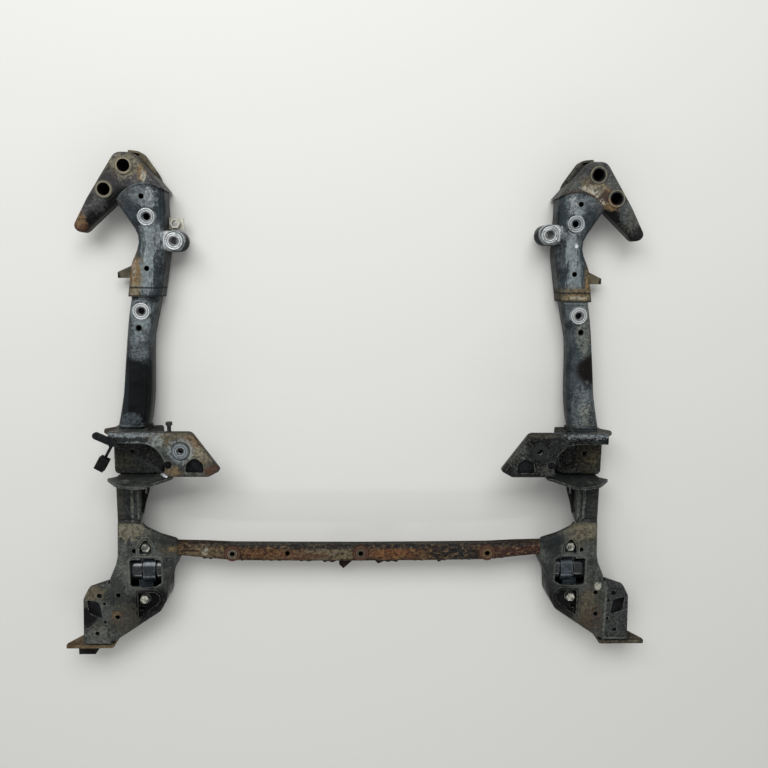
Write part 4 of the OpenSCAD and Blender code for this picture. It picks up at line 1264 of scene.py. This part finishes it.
@dataclass
class CrossMember(Group):
    """Rusty tube across the frame with its weld nuts and the mount bolts."""

    nuts: tuple[float, ...] = (-204, 0, 204)
    nut_tones: tuple[Tone, ...] = (Tone.KHAKI, Tone.DUST, Tone.TAN)
    nut_y: float = 199.5
    nut_weld_r: float = 12.6
    bore_r: float = 4.0
    grooves: tuple[float, ...] = (5.6, 8.8)
    seam: tuple[Plan, ...] = ((255, 204), (284, 206))
    seam_r: float = 1.6
    crusts: tuple[tuple[Plan, Plan, float], ...] = (
        ((-254, 191.9), (-236, 190.0), 3.2),
        ((-205, 187.3), (-186, 186.4), 2.2),
        ((-160, 186.0), (-120, 185.6), 1.9),
        ((-100, 185.4), (-72, 185.2), 2.3),
        ((-62, 185.2), (-38, 185.0), 3.4),
        ((28, 185.0), (62, 185.2), 3.3),
        ((84, 185.3), (104, 185.4), 2.0),
        ((124, 185.6), (140, 185.8), 3.0),
        ((160, 186.0), (185, 186.4), 1.8),
        ((214, 187.8), (236, 189.9), 2.1),
    )
    crust_level: float = 41
    rot: list[Piece] = field(default_factory=list)
    surface_patches: Patches = (
        Patch((-245, 200, 48), (46, 12, 14), Tone.DUST, 0.75, 1.0, 140),
        Patch((-262, 206, 50), (22, 3, 10), Tone.KHAKI, 0.6, 0.9, 130, streak=0.0),
        Patch((-247, 203, 50), (5, 7, 10), Tone.PALE, 0.8, 0.7, 150),
        Patch((-150, 199, 50), (46, 9, 10), Tone.ORANGE, 0.55, 1.3, 210, mixed=0.75),
        Patch((-60, 198, 50), (60, 12, 12), Tone.KHAKI, 0.55, 1.3, 230, mixed=0.85, streak=10),
        Patch((-95, 196, 50), (40, 8, 12), Tone.RUST, 0.8, 1.3, 200, mixed=0.3, streak=10),
        Patch((60, 198, 48), (46, 13, 16), Tone.RUST, 0.85, 0.7, 110),
        Patch((52, 200, 50), (36, 9, 10), Tone.ORANGE, 0.75, 1.3, 210, mixed=0.75),
        Patch((152, 198, 46), (46, 15, 20), Tone.COAL, 0.95, 0.5, 100, 0.4),
        Patch((165, 199, 50), (18, 8, 10), Tone.SLATE_DARK, 0.7, 0.8),
        Patch((245, 203, 46), (56, 20, 20), Tone.PLUM, 0.9, 0.5),
        Patch((20, 213, 44), (320, 7.0, 18), Tone.SLATE_DARK, 0.97, 0.3, 60, streak=0.0),
        Patch((-30, 213.5, 42), (260, 1.6, 16), Tone.GREY_LIGHT, 0.35, 0.9, 80, streak=0.0),
    )
    washers: Patch = Patch((0, 166, 44), (4000, 900, 2.7), Tone.GREY_DARK, 0.9, 0.05)

    def build(self) -> None:
        """Make the pinch seams at both ends, the welds round the nuts and the crusts on the front edge."""
        tube = ("cross_member",)
        for side in Side:
            path = [(side.x(x), y) for x, y in self.seam]
            self.pieces.append(Bead(side.node("pinch_seam"), path, tube, self.seam_r, ripple=0.05).build())
        for word, x in zip(("left", "middle", "right"), self.nuts):
            circle = arc((x, self.nut_y), self.nut_weld_r)
            ring = Bead(f"{word}_nut_weld", circle, tube, radius=1.1, pitch=3.0, ripple=0.15)
            self.pieces.append(ring.build())
        for i, (start, end, radius) in enumerate(self.crusts, 1):
            crust = Bead(f"rust_crust_{i}", (start, end), (), radius, pitch=13.0, ripple=0.25, flat=1.1,
                         level=self.crust_level)
            self.rot.append(crust.build())
        self.pieces += self.rot

    def dress(self) -> None:
        """Rust the tube, its torn strips, the nuts and the seams, and plate the bolts."""
        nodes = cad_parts
        rust = Finish("cross_rust", Tone.BROWN, Tone.UMBER, Tone.TAN, 0.8, scuff=0.5, speck=0.7, flank=0.55,
                      flake=0.62, grain=75.0, depth=0.0020, turn=5.0, patches=self.surface_patches)
        paint(nodes["cross_member"], rust.material())
        axes = tuple((x, self.nut_y) for x in self.nuts)
        lips = tuple(Patch((x, self.nut_y, 50), (8.5, 8.5, 14), tone, 0.8, 0.35, 190.0)
                     for x, tone in zip(self.nuts, self.nut_tones))
        ring = RingFinish("nut_rust", axes, self.bore_r, self.grooves, Tone.RUST, Tone.UMBER, rough=0.8,
                          metal=0.0, patches=lips, cut=0.85, line=1.1)
        paint(nodes["cross_nuts"], ring.material())
        zinc = Finish("bolt_zinc", Tone.ZINC, Tone.GREY, Tone.STEEL, 0.3, 0.4, speck=0.3, grime=0.5,
                      flank=0.5, grain=140.0, patches=(self.washers,))
        paint(nodes["mount_bolts"], zinc.material())
        seam = Finish("seam_rust", Tone.BROWN, Tone.UMBER, Tone.ORANGE, 0.85, flank=0.3)
        self.wear_pieces(seam, "rusty_steel")
        rotten = Finish("flap_rust", Tone.UMBER, Tone.COAL, Tone.BROWN, 0.85, depth=0.0016).material()
        for piece in (nodes["cross_flaps"], *self.rot):
            paint(piece, rotten)


@dataclass
class LeftFittings(Assembly):
    """Small pieces that only the left side carries."""

    tip: Patch = Patch((295, 339, 92), (7, 6, 8), Tone.STEEL, 0.95, 0.2)

    def dress(self) -> None:
        """Paint the clip, stud, foot, lever and link."""
        black = (Tone.COAL, Tone.BLACK)
        self.wear("nut_clip", Finish("clip_plating", Tone.ZINC, Tone.PALE, Tone.STEEL, 0.4, 0.2, grime=0.3))
        self.wear("stud", Finish("stud_steel", Tone.GREY_DARK, Tone.COAL, Tone.GREY_LIGHT, 0.5, 0.3))
        self.wear("foot", Finish("foot_rubber", *black, Tone.BROWN, 0.8))
        tip = (self.tip.on(self.side),)
        self.wear("lever", Finish("lever_plastic", *black, Tone.GREY, 0.5, patches=tip))
        self.wear("link link_clip", Finish("link_plastic", *black, Tone.GREY, 0.6))


@dataclass
class Studio:
    """Floor, light and camera."""

    eye: Spot = (-0.0162, 0.22039, 1.1413)
    right: Spot = (0.99897, 0.01400, 0.04321)
    up: Spot = (-0.00708, 0.98768, -0.15629)
    lens: float = 33.52
    sensor: float = 36.0
    near: float = 0.01
    floor_half: float = 4.0
    floor_colour: tuple[float, ...] = (0.78, 0.78, 0.75, 1.0)
    floor_rough: float = 0.8
    lamps: tuple[tuple[str, Spot, Band, float], ...] = (
        ("softbox", (-0.3, 1.5, 1.9), (2.4, 1.2), 46.0),
        ("strip", (0.0, -1.9, 1.1), (2.4, 0.12), 5.0),
    )
    sky_colour: tuple[float, ...] = (1.0, 1.0, 1.0, 1.0)
    sky_level: float = 0.38

    def build(self) -> None:
        """Make the floor, the lamps, the world and the camera."""
        self.build_floor()
        self.build_light()
        self.build_camera()

    def build_floor(self) -> None:
        """Lay a plain pale floor under the frame."""
        mesh = bmesh.new()
        half = self.floor_half
        corners = ((-half, -half), (half, -half), (half, half), (-half, half))
        mesh.faces.new([mesh.verts.new((x, y, 0.0)) for x, y in corners])
        data = bpy.data.meshes.new("floor")
        mesh.to_mesh(data)
        mesh.free()
        floor = bpy.data.objects.new("floor", data)
        bpy.context.scene.collection.objects.link(floor)
        material = bpy.data.materials.new("floor_pale")
        material.use_nodes = True
        shader = material.node_tree.nodes["Principled BSDF"]
        shader.inputs["Base Color"].default_value = self.floor_colour
        shader.inputs["Roughness"].default_value = self.floor_rough
        data.materials.append(material)

    def build_light(self) -> None:
        """Light the frame softly from above, with a low strip for the gloss of round pieces."""
        for name, spot, size, power in self.lamps:
            lamp = bpy.data.lights.new(name, "AREA")
            lamp.shape = "RECTANGLE"
            lamp.size, lamp.size_y = size
            lamp.energy = power
            holder = bpy.data.objects.new(name, lamp)
            holder.location = spot
            holder.rotation_euler = (-Vector(spot)).to_track_quat("-Z", "Y").to_euler()
            bpy.context.scene.collection.objects.link(holder)
        world = bpy.data.worlds.new("studio")
        world.use_nodes = True
        sky = world.node_tree.nodes["Background"]
        sky.inputs["Color"].default_value = self.sky_colour
        sky.inputs["Strength"].default_value = self.sky_level
        bpy.context.scene.world = world

    def build_camera(self) -> None:
        """Set the camera where the photograph was taken from."""
        lens = bpy.data.cameras.new("camera")
        lens.sensor_width = self.sensor
        lens.lens = self.lens
        lens.clip_start = self.near
        camera = bpy.data.objects.new("camera", lens)
        across = Vector(self.right).normalized()
        back = across.cross(Vector(self.up)).normalized()
        up = back.cross(across)
        turn = Matrix((across, up, back)).transposed().to_4x4()
        camera.matrix_world = Matrix.Translation(self.eye) @ turn
        bpy.context.scene.collection.objects.link(camera)
        bpy.context.scene.camera = camera


def main() -> None:
    """Build and dress every sub-assembly, then set the studio."""
    logging.basicConfig(level=logging.INFO, format="%(name)s %(message)s")
    bpy.context.scene.view_settings.view_transform = "Standard"
    for side in Side:
        for kind in (Horn, Arm, SideTube, ArmBracket, Rail, CornerBox):
            group = kind(side=side)
            group.build()
            group.dress()
            group.report()
        EngineMount(side=side).dress()
    cross = CrossMember()
    cross.build()
    cross.dress()
    cross.report()
    LeftFittings(side=Side.LEFT).dress()
    Studio().build()


if __name__ == "__main__":
    main()
